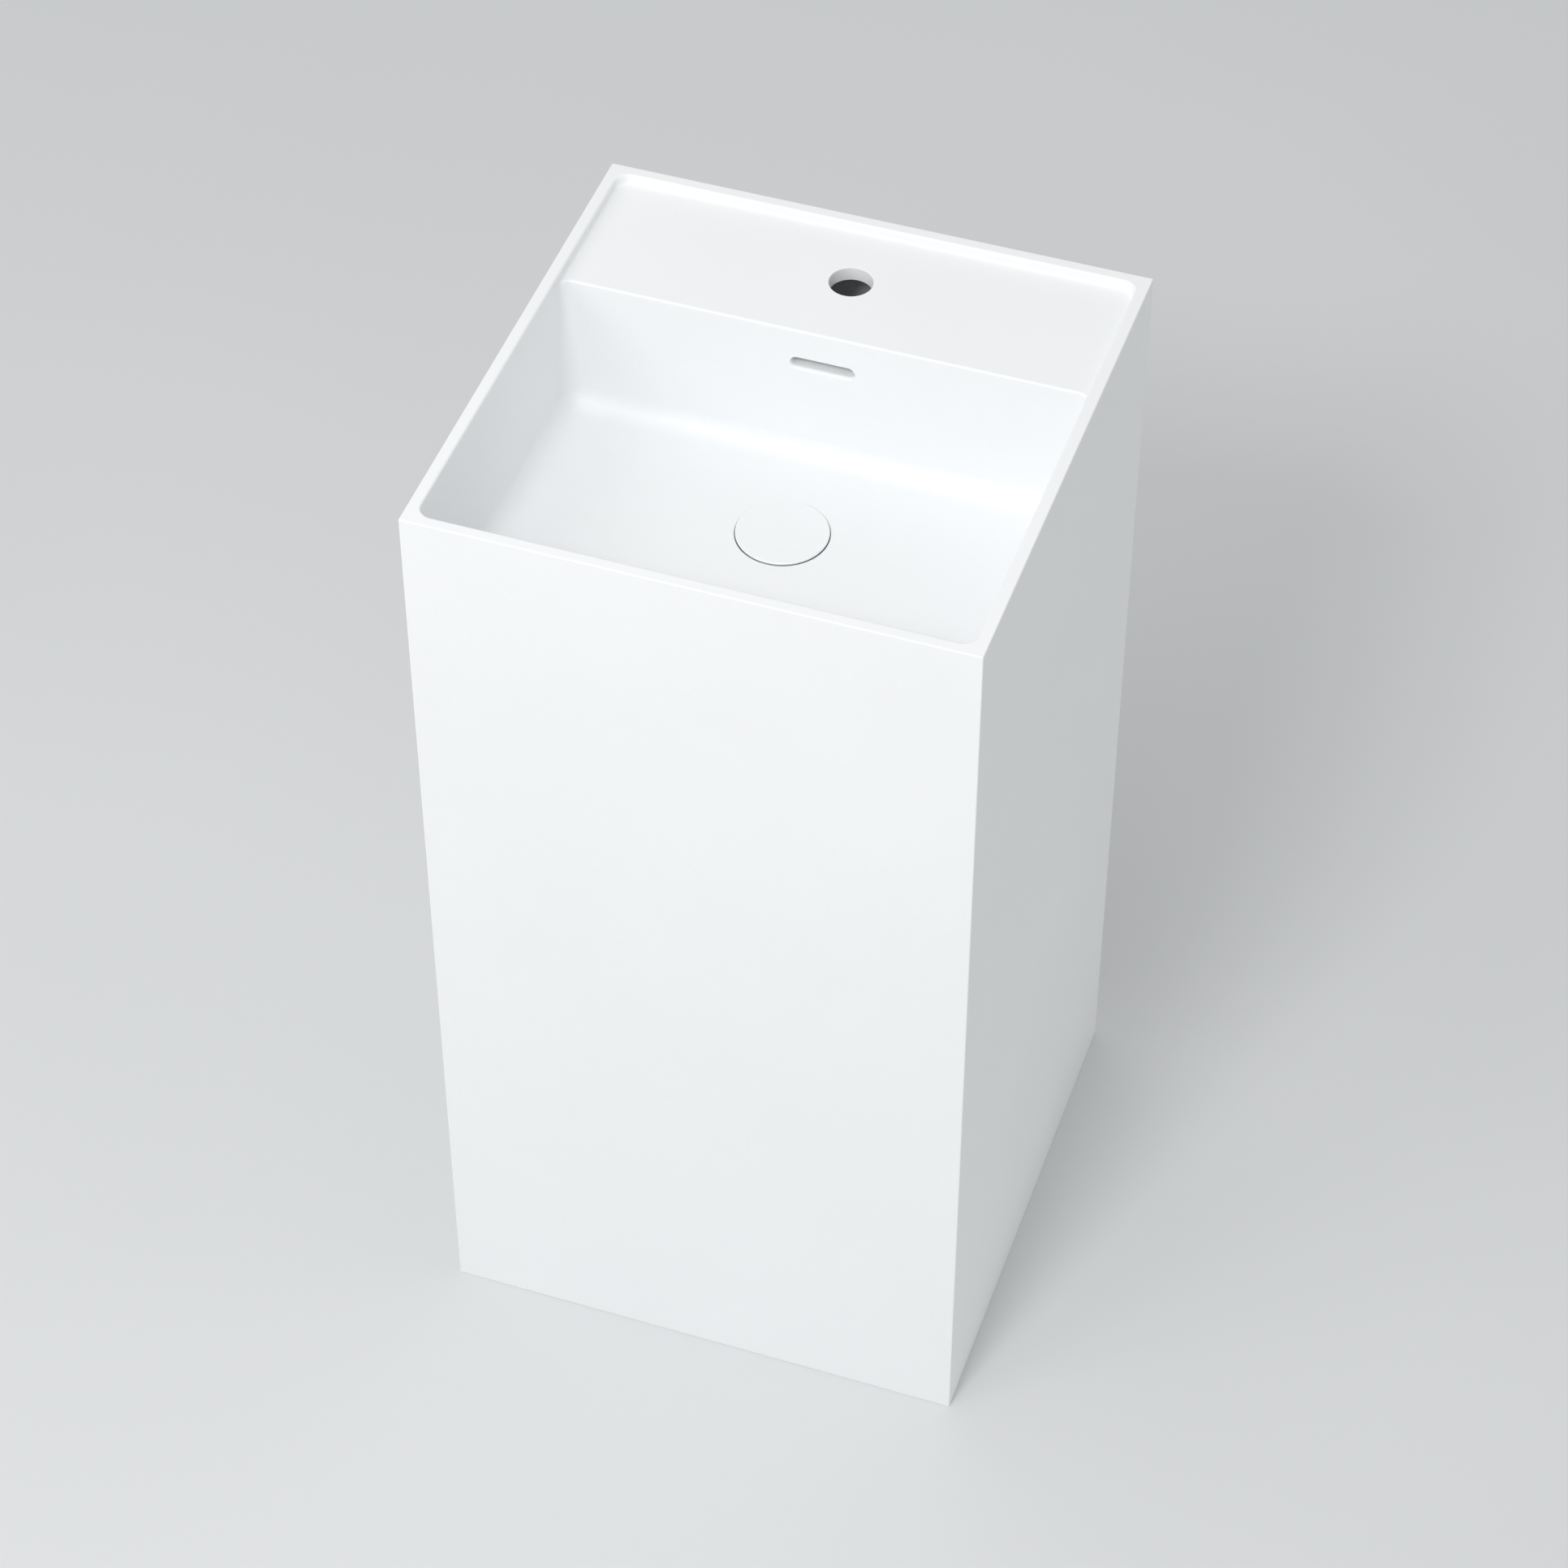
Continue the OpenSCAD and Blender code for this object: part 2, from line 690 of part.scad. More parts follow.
// Ribs along the two straight runs of the hose and round its bend
module hose_ribs() {
    bend_y = hose_y - hose_bend;
    bend_z = collar_mid_z + hose_bend;
    bend_ribs = floor(hose_bend * PI / 2 / hose_rib_pitch);
    for (z = [bend_z + hose_rib_pitch : hose_rib_pitch : hose_top_z - hose_cuff])
        translate([0, hose_y, z]) cylinder(r = hose_rib_r, h = hose_rib_t);
    for (y = [bend_y - hose_rib_pitch : -hose_rib_pitch : hose_front_y + hose_cuff])
        translate([0, y, collar_mid_z]) rotate([90, 0, 0]) cylinder(r = hose_rib_r, h = hose_rib_t);
    for (i = [0 : bend_ribs - 1])
        translate([0, bend_y, bend_z]) rotate([-(i + 0.5) * 90 / bend_ribs, 0, 0])
            translate([0, hose_bend, -hose_rib_t / 2]) cylinder(r = hose_rib_r, h = hose_rib_t);
}

module overflow_hose() {
    color([0.86, 0.87, 0.88]) difference() {
        union() {
            hose_line(hose_out_r, 0);
            hose_ribs();
        }
        hose_line(hose_in_r, cut);
    }
}

// Screw band clips on the hose's two cuffs
module hose_clips() {
    module clip() {
        ring(hose_out_r + clip_t, hose_out_r, clip_w);
        translate([hose_out_r + clip_t / 2, -4, 0]) cube([6, 8, clip_w]);
    }
    color([0.75, 0.76, 0.78]) {
        translate([0, hose_y, hose_top_z - hose_cuff / 2 - clip_w / 2]) clip();
        translate([0, hose_front_y + hose_cuff / 2 - clip_w / 2, collar_mid_z]) rotate([-90, 0, 0]) clip();
    }
}

// ---- The trap ----

module inlet_washer() {
    color([0.12, 0.12, 0.12]) at_drain(waste_end_z - inlet_washer_t)
        ring(tube_flange_r, tube_r - tube_wall, inlet_washer_t);
}

module inlet_nut() {
    color([0.94, 0.94, 0.94]) at_drain(inlet_nut_z + inlet_nut_h) mirror([0, 0, 1])
        union_nut(waste_r + fit, tube_r + slide, inlet_nut_h);
}

module inlet_tube() {
    top_z = waste_end_z - inlet_washer_t;
    inner_r = tube_r - tube_wall;
    color([0.94, 0.94, 0.94]) at_drain(0) rotate_extrude() polygon([
        [inner_r, tube_mouth_z], [tube_r, tube_mouth_z], [tube_r, top_z - tube_flange_t],
        [tube_flange_r, top_z - tube_flange_t], [tube_flange_r, top_z], [inner_r, top_z]]);
}

module tube_nut() {
    top_z = outlet_z + head_over + socket_l + seal_t + nut_lip;
    color([0.94, 0.94, 0.94]) at_drain(top_z - small_nut_h)
        union_nut(socket_r + fit, tube_r + slide, small_nut_h);
}

module tube_seal() {
    color([0.12, 0.12, 0.12]) at_drain(outlet_z + head_over + socket_l)
        cone_seal(tube_r + fit / 2, socket_r - fit, seal_t);
}

module trap_head() {
    cavity_r = head_r - head_wall;
    base_z = -head_under;
    color([0.95, 0.95, 0.95]) at_drain(outlet_z) difference() {
        union() {
            translate([0, 0, base_z]) cylinder(r = head_r, h = head_over + head_under - 2);
            translate([0, 0, head_over - 2]) cylinder(r1 = head_r, r2 = head_r - 2, h = 2);
            translate([0, 0, head_over - cut]) cylinder(r = socket_r, h = socket_l + cut);
            rotate([-90, 0, 0]) cylinder(r = socket_r, h = stub_reach);
        }
        translate([0, 0, base_z - cut])
            cylinder(r = cavity_r, h = head_over + head_under - head_wall + cut);
        cylinder(r = tube_r + slide, h = head_over + socket_l + cut);
        rotate([-90, 0, 0]) cylinder(r = tube_r - tube_wall, h = stub_reach + cut);
        translate([0, stub_socket_y, 0]) rotate([-90, 0, 0])
            cylinder(r = tube_r + slide, h = stub_reach - stub_socket_y + cut);
    }
}

// A cup that screws up on to the trap's head
module trap_cup() {
    out_r = head_r - 1;
    in_r = out_r - cup_wall;
    bevel = 6;
    rim_top = cup_top_z + cup_rim_h;
    color([0.95, 0.95, 0.95]) at_drain(0) {
        rotate_extrude() polygon([
            [0, cup_floor_z - cup_wall], [out_r - bevel, cup_floor_z - cup_wall],
            [out_r, cup_floor_z - cup_wall + bevel], [out_r, cup_top_z - 8],
            [cup_rim_r, cup_top_z - 4], [cup_rim_r, rim_top], [head_r + fit, rim_top],
            [head_r + fit, cup_top_z], [in_r, cup_top_z], [in_r, cup_floor_z + bevel],
            [in_r - bevel, cup_floor_z], [0, cup_floor_z]]);
        for (i = [0 : grip_ribs - 1]) rotate(i * 360 / grip_ribs)
            translate([cup_rim_r - 0.2, 0, cup_top_z - 2]) cylinder(r = grip_r, h = cup_rim_h, $fn = 24);
    }
}

module cup_seal() {
    color([0.12, 0.12, 0.12]) at_drain(cup_top_z)
        ring(head_r - fit, head_r - head_wall - 0.5, cup_seal_t);
}

// Puts its children on the outlet's axis, y from the trap's middle, with +Z turned to +Y
module at_outlet(y) {
    translate([0, drain_y + y, outlet_z]) rotate([-90, 0, 0]) children();
}

module outlet_nut() {
    color([0.94, 0.94, 0.94]) at_outlet(stub_reach + seal_t + nut_lip - small_nut_h)
        union_nut(socket_r + fit, tube_r + slide, small_nut_h);
}

module outlet_seal() {
    color([0.12, 0.12, 0.12]) at_outlet(stub_reach)
        cone_seal(tube_r + fit / 2, socket_r - fit, seal_t);
}

// The tube from the trap to the rear, with a stop bead outside the nut
module outlet_pipe() {
    inner_r = tube_r - tube_wall;
    start = stub_socket_y + 1;
    end = pipe_end_y - drain_y;
    color([0.94, 0.94, 0.94]) at_outlet(0) rotate_extrude() polygon([
        [inner_r, start], [tube_r, start], [tube_r, bead_y], [tube_r + bead_h, bead_y],
        [tube_r + bead_h, bead_y + bead_w], [tube_r, bead_y + bead_w], [tube_r, end], [inner_r, end]]);
}

// ---- The floor brackets ----

module floor_brackets() {
    color([0.72, 0.74, 0.76]) for (side = [-1, 1]) {
        difference() {
            translate([side * inner_w / 2, 0, 0]) mirror([side > 0 ? 1 : 0, 0, 0])
                translate([0, -bracket_l / 2, 0]) {
                    cube([bracket_foot, bracket_l, bracket_t]);
                    cube([bracket_t, bracket_l, bracket_leg]);
                }
            for (y = [-1, 1]) {
                translate([side * (inner_w / 2 - foot_hole_in), y * bracket_pitch / 2, -cut])
                    cylinder(d = foot_hole_d, h = bracket_t + 2 * cut);
                translate([side * (inner_w / 2 - bracket_t - cut), y * bracket_pitch / 2, bracket_hole_z])
                    rotate([0, side * 90, 0]) cylinder(r = screw_d / 2 + 2 * fit, h = bracket_t + 2 * cut);
            }
        }
    }
}

module bracket_screws() {
    color([0.8, 0.81, 0.83]) at_bracket_screws() {
        translate([0, 0, -bracket_t]) cylinder(r = screw_d / 2 - fit / 2, h = bracket_t + insert_l - 1);
        difference() {
            translate([0, 0, -bracket_t - screw_head_h])
                cylinder(r1 = screw_head_r * 0.8, r2 = screw_head_r, h = screw_head_h);
            translate([0, 0, -bracket_t - screw_head_h - cut])
                cylinder(d = screw_d * 0.7, h = screw_head_h / 2 + cut, $fn = 6);
        }
    }
}

module bracket_inserts() {
    color([0.78, 0.66, 0.38]) at_bracket_screws() ring(insert_r - fit / 2, screw_d / 2, insert_l - fit);
}

front_panel();
rear_panel();
left_panel();
right_panel();
bowl_base();
drain_boss();
bowl_wall();
deck_panel();
floor_coves();
corner_coves();
drain_cover();
cover_carrier();
cover_seal();
push_stem();
ratchet_ring();
cartridge_spring();
cartridge_body();
cartridge_cap();
cartridge_nut();
waste_body();
flange_seal();
upper_washer();
overflow_collar();
lower_washer();
backnut();
overflow_gasket();
overflow_housing();
overflow_screws();
overflow_hose();
hose_clips();
inlet_washer();
inlet_nut();
inlet_tube();
tube_nut();
tube_seal();
trap_head();
trap_cup();
cup_seal();
outlet_nut();
outlet_seal();
outlet_pipe();
floor_brackets();
bracket_screws();
bracket_inserts();
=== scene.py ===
"""A square column washbasin in bonded stone, with its push-open drain, overflow, trap and brackets."""

import json
import logging
import math
from dataclasses import dataclass, field
from enum import Enum
from functools import cached_property
from typing import Optional, Sequence, Union

import bmesh
import bpy
from mathutils import Matrix, Vector


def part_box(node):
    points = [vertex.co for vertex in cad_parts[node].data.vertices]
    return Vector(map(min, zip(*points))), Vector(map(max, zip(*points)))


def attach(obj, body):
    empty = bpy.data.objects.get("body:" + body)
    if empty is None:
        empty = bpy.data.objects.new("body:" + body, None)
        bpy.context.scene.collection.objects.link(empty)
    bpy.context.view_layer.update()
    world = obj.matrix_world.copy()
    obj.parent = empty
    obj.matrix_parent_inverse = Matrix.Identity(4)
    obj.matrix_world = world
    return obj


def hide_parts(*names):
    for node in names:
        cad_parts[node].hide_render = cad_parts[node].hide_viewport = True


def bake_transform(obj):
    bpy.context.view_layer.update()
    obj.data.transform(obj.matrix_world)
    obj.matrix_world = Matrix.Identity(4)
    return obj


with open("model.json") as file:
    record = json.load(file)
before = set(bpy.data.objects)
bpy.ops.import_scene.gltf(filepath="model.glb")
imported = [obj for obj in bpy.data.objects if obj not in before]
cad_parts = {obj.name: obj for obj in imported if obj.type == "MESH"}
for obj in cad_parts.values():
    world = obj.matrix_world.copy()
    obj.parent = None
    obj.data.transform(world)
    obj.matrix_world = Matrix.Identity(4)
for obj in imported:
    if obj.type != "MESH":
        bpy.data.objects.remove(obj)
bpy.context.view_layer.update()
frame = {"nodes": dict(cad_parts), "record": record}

MM = 0.001
LOG = logging.getLogger("washbasin")

Colour = tuple[float, float, float]
Point = Sequence[float]
Outline = list[tuple[float, float]]
Loop = list[Vector]


# ---- Measuring ----


@dataclass(frozen=True)
class Extent:
    """The box that one node of the frame fills.

    Args:
        node: Name of the node.
    """

    node: str

    @cached_property
    def low(self) -> Vector:
        """Lowest corner."""
        return Vector(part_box(self.node)[0])

    @cached_property
    def high(self) -> Vector:
        """Highest corner."""
        return Vector(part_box(self.node)[1])

    @cached_property
    def middle(self) -> Vector:
        """Middle of the box."""
        return (self.low + self.high) / 2

    @cached_property
    def size(self) -> Vector:
        """Lengths of the box's sides."""
        return self.high - self.low


def mount(name: str) -> dict:
    """Finds one of the record's mounts.

    Args:
        name: Name of the mount.

    Returns:
        The mount as the record gives it.
    """
    return next(m for m in frame["record"]["mounts"] if m["name"] == name)


# ---- Shader nodes ----


class Wire:
    """A value on its way through a node tree. Arithmetic on it adds Math nodes.

    Args:
        sheet: The node sheet that the value belongs to.
        socket: The output socket that gives the value.
    """

    def __init__(self, sheet: "NodeSheet", socket: bpy.types.NodeSocket) -> None:
        """Keeps the sheet and the socket."""
        self.sheet = sheet
        self.socket = socket

    def math(self, operation: str, *values: "Value") -> "Wire":
        """Adds one Math node.

        Args:
            operation: The Math node's operation.
            values: Its inputs, in order.

        Returns:
            The node's result.
        """
        node = self.sheet.add("ShaderNodeMath", {"operation": operation}, dict(enumerate(values)))
        return Wire(self.sheet, node.outputs[0])

    def __add__(self, other: "Value") -> "Wire":
        """Sum."""
        return self.math("ADD", self, other)

    __radd__ = __add__

    def __sub__(self, other: "Value") -> "Wire":
        """Difference."""
        return self.math("SUBTRACT", self, other)

    def __rsub__(self, other: "Value") -> "Wire":
        """Difference, from the right."""
        return self.math("SUBTRACT", other, self)

    def __mul__(self, other: "Value") -> "Wire":
        """Product."""
        return self.math("MULTIPLY", self, other)

    __rmul__ = __mul__

    def __pow__(self, other: "Value") -> "Wire":
        """Power."""
        return self.math("POWER", self, other)

    def between(self, low: float, high: float) -> "Wire":
        """Stretches the value so that low gives 0 and high gives 1.

        Args:
            low: Value that becomes 0.
            high: Value that becomes 1.

        Returns:
            The stretched value, held within 0 and 1.
        """
        settings = {"interpolation_type": "SMOOTHSTEP"}
        inputs = {"Value": self, "From Min": low, "From Max": high}
        node = self.sheet.add("ShaderNodeMapRange", settings, inputs)
        return Wire(self.sheet, node.outputs[0])


Value = Union[Wire, float]


class NodeSheet:
    """One material's node tree, with the few ways of adding to it that the finishes need.

    Args:
        name: Name of the material.
    """

    def __init__(self, name: str) -> None:
        """Starts the material with its first shader."""
        self.material = bpy.data.materials.new(name)
        self.material.use_nodes = True
        self.tree = self.material.node_tree
        self.shader = self.tree.nodes["Principled BSDF"]

    def add(self, kind: str, settings: dict, inputs: dict) -> bpy.types.Node:
        """Adds a node of any kind.

        Args:
            kind: The node's type.
            settings: Its settings, which are made first.
            inputs: Values or wires for its input sockets, by name or number.

        Returns:
            The new node.
        """
        node = self.tree.nodes.new(kind)
        for key, value in settings.items():
            setattr(node, key, value)
        self.feed(node, inputs)
        return node

    def feed(self, node: bpy.types.Node, inputs: dict) -> None:
        """Sets or links a node's input sockets.

        Args:
            node: The node.
            inputs: Values or wires, by socket name or number.
        """
        for key, value in inputs.items():
            if isinstance(value, Wire):
                self.tree.links.new(value.socket, node.inputs[key])
            else:
                node.inputs[key].default_value = value

    def place(self) -> Wire:
        """Gives the point on the surface, in the object's own metres."""
        return Wire(self, self.add("ShaderNodeTexCoord", {}, {}).outputs["Object"])

    def noise(
            self, scale: float, detail: float = 2.0, rough: float = 0.5, stretch: Point = (1, 1, 1)) -> Wire:
        """Gives a cloud of values about 0.5.

        Args:
            scale: Lumps per metre.
            detail: Layers of finer lumps.
            rough: Strength of the finer lumps.
            stretch: Factors on the three directions of the pattern.

        Returns:
            The cloud's value.
        """
        factors = {0: self.place(), 1: tuple(stretch)}
        at = self.add("ShaderNodeVectorMath", {"operation": "MULTIPLY"}, factors)
        inputs = {"Vector": Wire(self, at.outputs[0]), "Scale": scale, "Detail": detail, "Roughness": rough}
        return Wire(self, self.add("ShaderNodeTexNoise", {}, inputs).outputs[0])

    def blend(self, amount: Value, first: Union[Wire, Colour], second: Union[Wire, Colour]) -> Wire:
        """Mixes two colours.

        Args:
            amount: 0 for the first colour, 1 for the second.
            first: The first colour.
            second: The second colour.

        Returns:
            The mixed colour.
        """
        node = self.add("ShaderNodeMix", {"data_type": "RGBA"}, {0: amount})
        for key, colour in ((6, first), (7, second)):
            self.feed(node, {key: colour if isinstance(colour, Wire) else (*colour, 1.0)})
        return Wire(self, node.outputs[2])

    def bump(self, height: Wire, depth: float, strength: float = 1.0) -> Wire:
        """Turns a height into a surface direction.

        Args:
            height: Height from 0 to 1.
            depth: Depth of the relief in metres.
            strength: Share of the relief that shows.

        Returns:
            The direction for a Normal socket.
        """
        inputs = {"Height": height, "Distance": depth, "Strength": strength}
        return Wire(self, self.add("ShaderNodeBump", {}, inputs).outputs[0])


def shaded(colour: Colour, factor: float) -> Colour:
    """Scales a colour.

    Args:
        colour: The colour.
        factor: 1 leaves it as it is.

    Returns:
        The scaled colour.
    """
    return tuple(min(1.0, c * factor) for c in colour)


# ---- Finishes ----


@dataclass(frozen=True)
class StoneFinish:
    """Mineral stone, sanded matt: a faint cloud in the colour and a fine tooth in the surface.

    Args:
        name: Name of the material.
        colour: Its colour.
        roughness: Its mean roughness.
        cloud: How much the colour drifts.
        tooth: Depth of the sanded grain in metres.
        coat: Weight of the sealed skin.
    """

    name: str
    colour: Colour
    roughness: float
    cloud: float
    tooth: float
    coat: float = 0.0

    def material(self) -> bpy.types.Material:
        """Builds the material.

        Returns:
            The material.
        """
        sheet = NodeSheet(self.name)
        drift = sheet.noise(7, 3).between(0.3, 0.7)
        grain = sheet.noise(900, 2, 0.6)
        speck = sheet.noise(260, 1).between(0.62, 0.74)
        clouded = sheet.blend(drift, shaded(self.colour, 1 - self.cloud), self.colour)
        colour = sheet.blend(speck * 0.35, clouded, shaded(self.colour, 1 - 2.5 * self.cloud))
        sheet.feed(sheet.shader, {
            "Base Color": colour,
            "Roughness": self.roughness + (grain - 0.5) * 0.12 + (drift - 0.5) * 0.05,
            "Normal": sheet.bump(grain, self.tooth, 0.5),
            "IOR": 1.49,
            "Coat Weight": self.coat,
            "Coat Roughness": 0.35,
        })
        return sheet.material


@dataclass(frozen=True)
class MetalFinish:
    """Metal with faint wiping marks: chrome plate, turned brass, zinc plate or drawn wire.

    Args:
        name: Name of the material.
        colour: Its colour.
        roughness: Its mean roughness.
        turned: Strength of the fine rings that turning leaves.
        spangle: How much zinc's crystals or tarnish vary the colour.
    """

    name: str
    colour: Colour
    roughness: float
    turned: float = 0.0
    spangle: float = 0.0

    def material(self) -> bpy.types.Material:
        """Builds the material.

        Returns:
            The material.
        """
        sheet = NodeSheet(self.name)
        smear = sheet.noise(60, 3).between(0.35, 0.7)
        patch = sheet.noise(240, 2, 0.6).between(0.4, 0.62)
        rings = sheet.noise(1600, 1, 0.5, (0.02, 0.02, 1))
        colour = sheet.blend(patch * self.spangle, self.colour, shaded(self.colour, 0.62))
        sheet.feed(sheet.shader, {
            "Base Color": colour,
            "Metallic": 1.0,
            "Roughness": self.roughness + smear * 0.08 + patch * (0.2 * self.spangle),
            "Normal": sheet.bump(rings, 0.02 * MM, self.turned),
        })
        return sheet.material


@dataclass(frozen=True)
class PlasticFinish:
    """Moulded plastic: a smooth skin with a slight ripple and scuffs that dull it here and there.

    Args:
        name: Name of the material.
        colour: Its colour.
        roughness: Its mean roughness.
        pebble: Depth of the moulded texture in metres.
        glow: Share of light that passes under the skin.
    """

    name: str
    colour: Colour
    roughness: float
    pebble: float
    glow: float = 0.0

    def material(self) -> bpy.types.Material:
        """Builds the material.

        Returns:
            The material.
        """
        sheet = NodeSheet(self.name)
        ripple = sheet.noise(90, 2)
        pebble = sheet.noise(1300, 2, 0.6)
        scuff = sheet.noise(35, 4, 0.65, (1, 1, 0.4)).between(0.5, 0.72)
        sheet.feed(sheet.shader, {
            "Base Color": sheet.blend(scuff * 0.4, self.colour, shaded(self.colour, 0.86)),
            "Roughness": self.roughness + scuff * 0.16 + (ripple - 0.5) * 0.06,
            "Normal": sheet.bump(pebble * 0.6 + ripple * 0.4, self.pebble, 0.6),
            "IOR": 1.5,
            "Subsurface Weight": self.glow,
            "Subsurface Scale": 2 * MM,
        })
        return sheet.material


@dataclass(frozen=True)
class RubberFinish:
    """Soft rubber or silicone with a bloom of dust.

    Args:
        name: Name of the material.
        colour: Its colour.
        roughness: Its mean roughness.
    """

    name: str
    colour: Colour
    roughness: float

    def material(self) -> bpy.types.Material:
        """Builds the material.

        Returns:
            The material.
        """
        sheet = NodeSheet(self.name)
        bloom = sheet.noise(120, 3, 0.6).between(0.45, 0.7)
        grain = sheet.noise(1500, 2)
        dusty = tuple(0.75 * c + 0.05 for c in self.colour)
        sheet.feed(sheet.shader, {
            "Base Color": sheet.blend(bloom * 0.5, self.colour, dusty),
            "Roughness": self.roughness + bloom * 0.15,
            "Normal": sheet.bump(grain, 0.03 * MM, 0.6),
            "Sheen Weight": 0.15,
            "Sheen Roughness": 0.5,
        })
        return sheet.material


class Slot(Enum):
    """The record's material slots, each with its finish."""

    STONE = "cast_stone"
    CHROME = "chrome"
    BRASS = "brass"
    SPRING = "spring_steel"
    ZINC = "zinc_steel"
    WHITE = "white_plastic"
    HOSE = "hose_plastic"
    BLACK_RUBBER = "black_rubber"
    PALE_RUBBER = "pale_rubber"


FINISHES = {
    Slot.STONE: StoneFinish("stone_matt", (0.9, 0.909, 0.917), 0.5, 0.012, 0.02 * MM, 0.06),
    Slot.CHROME: MetalFinish("chrome_plate", (0.82, 0.83, 0.85), 0.07),
    Slot.BRASS: MetalFinish("brass_turned", (0.72, 0.53, 0.24), 0.24, 0.5, 0.25),
    Slot.SPRING: MetalFinish("wire_drawn", (0.6, 0.6, 0.62), 0.22, 0.2),
    Slot.ZINC: MetalFinish("zinc_plate", (0.66, 0.69, 0.72), 0.33, 0.1, 0.6),
    Slot.WHITE: PlasticFinish("plastic_white", (0.83, 0.83, 0.815), 0.26, 0.02 * MM, 0.08),
    Slot.HOSE: PlasticFinish("plastic_hose", (0.5, 0.52, 0.54), 0.42, 0.04 * MM, 0.05),
    Slot.BLACK_RUBBER: RubberFinish("rubber_black", (0.018, 0.018, 0.02), 0.62),
    Slot.PALE_RUBBER: RubberFinish("silicone_pale", (0.68, 0.68, 0.66), 0.5),
}
# Greyer stone for inside the column: partly the raw back of the casting, partly painted shade that darkens
# the hollow the lamps hardly reach.
RAW_STONE_WITH_PAINTED_SHADE = StoneFinish("stone_raw_back_painted_shade", (0.74, 0.745, 0.75), 0.8, 0.06, 0.25 * MM)
Finish = Union[StoneFinish, MetalFinish, PlasticFinish, RubberFinish]


class Palette:
    """Makes each material once and hands it out."""

    def __init__(self) -> None:
        """Starts with no material made."""
        self.made: dict[str, bpy.types.Material] = {}

    def take(self, finish: Finish) -> bpy.types.Material:
        """Gives a finish's material.

        Args:
            finish: The finish.

        Returns:
            Its material, built on first use.
        """
        if finish.name not in self.made:
            self.made[finish.name] = finish.material()
        return self.made[finish.name]

    def slot(self, slot: Slot) -> bpy.types.Material:
        """Gives the material of one of the record's slots."""
        return self.take(FINISHES[slot])


# ---- Meshes ----


def arc(cx: float, cy: float, r: float, start: float, end: float, steps: int) -> Outline:
    """Gives points along an arc.

    Args:
        cx: First coordinate of the middle.
        cy: Second coordinate of the middle.
        r: Radius.
        start: First angle in degrees.
        end: Last angle in degrees.
        steps: Number of chords.

    Returns:
        The points, both ends included.
    """
    angles = [math.radians(start + (end - start) * i / steps) for i in range(steps + 1)]
    return [(cx + r * math.cos(a), cy + r * math.sin(a)) for a in angles]


def round_box(low: Point, high: Point, r: float, steps: int, far_r: Optional[float] = None) -> Outline:
    """Gives a rectangle's outline with round corners, counterclockwise.

    Args:
        low: Lowest corner.
        high: Highest corner.
        r: Corner radius, which may be 0.
        steps: Chords in each corner.
        far_r: Radius of the two corners at the high end of the second direction, where it isn't r.

    Returns:
        The points.
    """
    far = r if far_r is None else far_r
    return [
        *arc(high[0] - r, low[1] + r, r, -90, 0, steps),
        *arc(high[0] - far, high[1] - far, far, 0, 90, steps),
        *arc(low[0] + far, high[1] - far, far, 90, 180, steps),
        *arc(low[0] + r, low[1] + r, r, 180, 270, steps),
    ]


def flat_loop(outline: Outline, z: float) -> Loop:
    """Lays an outline flat at a height."""
    return [Vector((x, y, z)) for x, y in outline]


def new_object(name: str, bm: bmesh.types.BMesh) -> bpy.types.Object:
    """Cleans a mesh and puts it in the scene.

    Args:
        name: Name of the object.
        bm: The mesh, which is used up.

    Returns:
        The new object.
    """
    bmesh.ops.remove_doubles(bm, verts=bm.verts, dist=1e-6)
    bmesh.ops.dissolve_degenerate(bm, edges=bm.edges, dist=1e-7)
    bmesh.ops.recalc_face_normals(bm, faces=bm.faces)
    mesh = bpy.data.meshes.new(name)
    bm.to_mesh(mesh)
    bm.free()
    thing = bpy.data.objects.new(name, mesh)
    bpy.context.scene.collection.objects.link(thing)
    return thing


def lofted(name: str, loops: Sequence[Loop], capped: bool = True, ring: bool = False) -> bpy.types.Object:
    """Skins a row of loops that all have the same number of points.

    Args:
        name: Name of the object.
        loops: The loops, in order.
        capped: Closes the first and last loop.
        ring: Joins the last loop back to the first.

    Returns:
        The new object.
    """
    bm = bmesh.new()
    rows = [[bm.verts.new(p) for p in loop] for loop in loops]
    pairs = list(zip(rows, rows[1:])) + ([(rows[-1], rows[0])] if ring else [])
    for below, above in pairs:
        for i in range(len(below)):
            j = (i + 1) % len(below)
            bm.faces.new((below[i], below[j], above[j], above[i]))
    if capped and not ring:
        bm.faces.new(list(reversed(rows[0])))
        bm.faces.new(rows[-1])
    return new_object(name, bm)


def spun(name: str, profile: Outline, middle: Vector, segments: int = 128) -> bpy.types.Object:
    """Turns a closed profile of (radius, height) points about an upright axis.

    Args:
        name: Name of the object.
        profile: The points. A first and last radius of 0 close the shape on its axis.
        middle: Where the axis starts.
        segments: Chords in a turn.

    Returns:
        The new object.
    """
    angles = [2 * math.pi * i / segments for i in range(segments)]
    on_axis = profile[0][0] == 0 and profile[-1][0] == 0
    loops = [[middle + Vector((r * math.cos(a), r * math.sin(a), z)) for a in angles] for r, z in profile]
    return lofted(name, loops, capped=False, ring=not on_axis)


def carve(thing: bpy.types.Object, tools: Sequence[bpy.types.Object], operation: str = "DIFFERENCE") -> None:
    """Cuts tools out of an object, or joins them to it, and clears the tools away.

    Args:
        thing: The object.
        tools: The solids to cut with, in order.
        operation: The Boolean operation.
    """
    for tool in tools:
        cut = thing.modifiers.new("cut", "BOOLEAN")
        cut.operation = operation
        cut.solver = "EXACT"
        cut.object = tool
        bpy.context.view_layer.update()
        shape = bpy.data.meshes.new_from_object(thing.evaluated_get(bpy.context.evaluated_depsgraph_get()))
        thing.modifiers.clear()
        old, thing.data = thing.data, shape
        bpy.data.meshes.remove(old)
        bpy.data.objects.remove(tool)


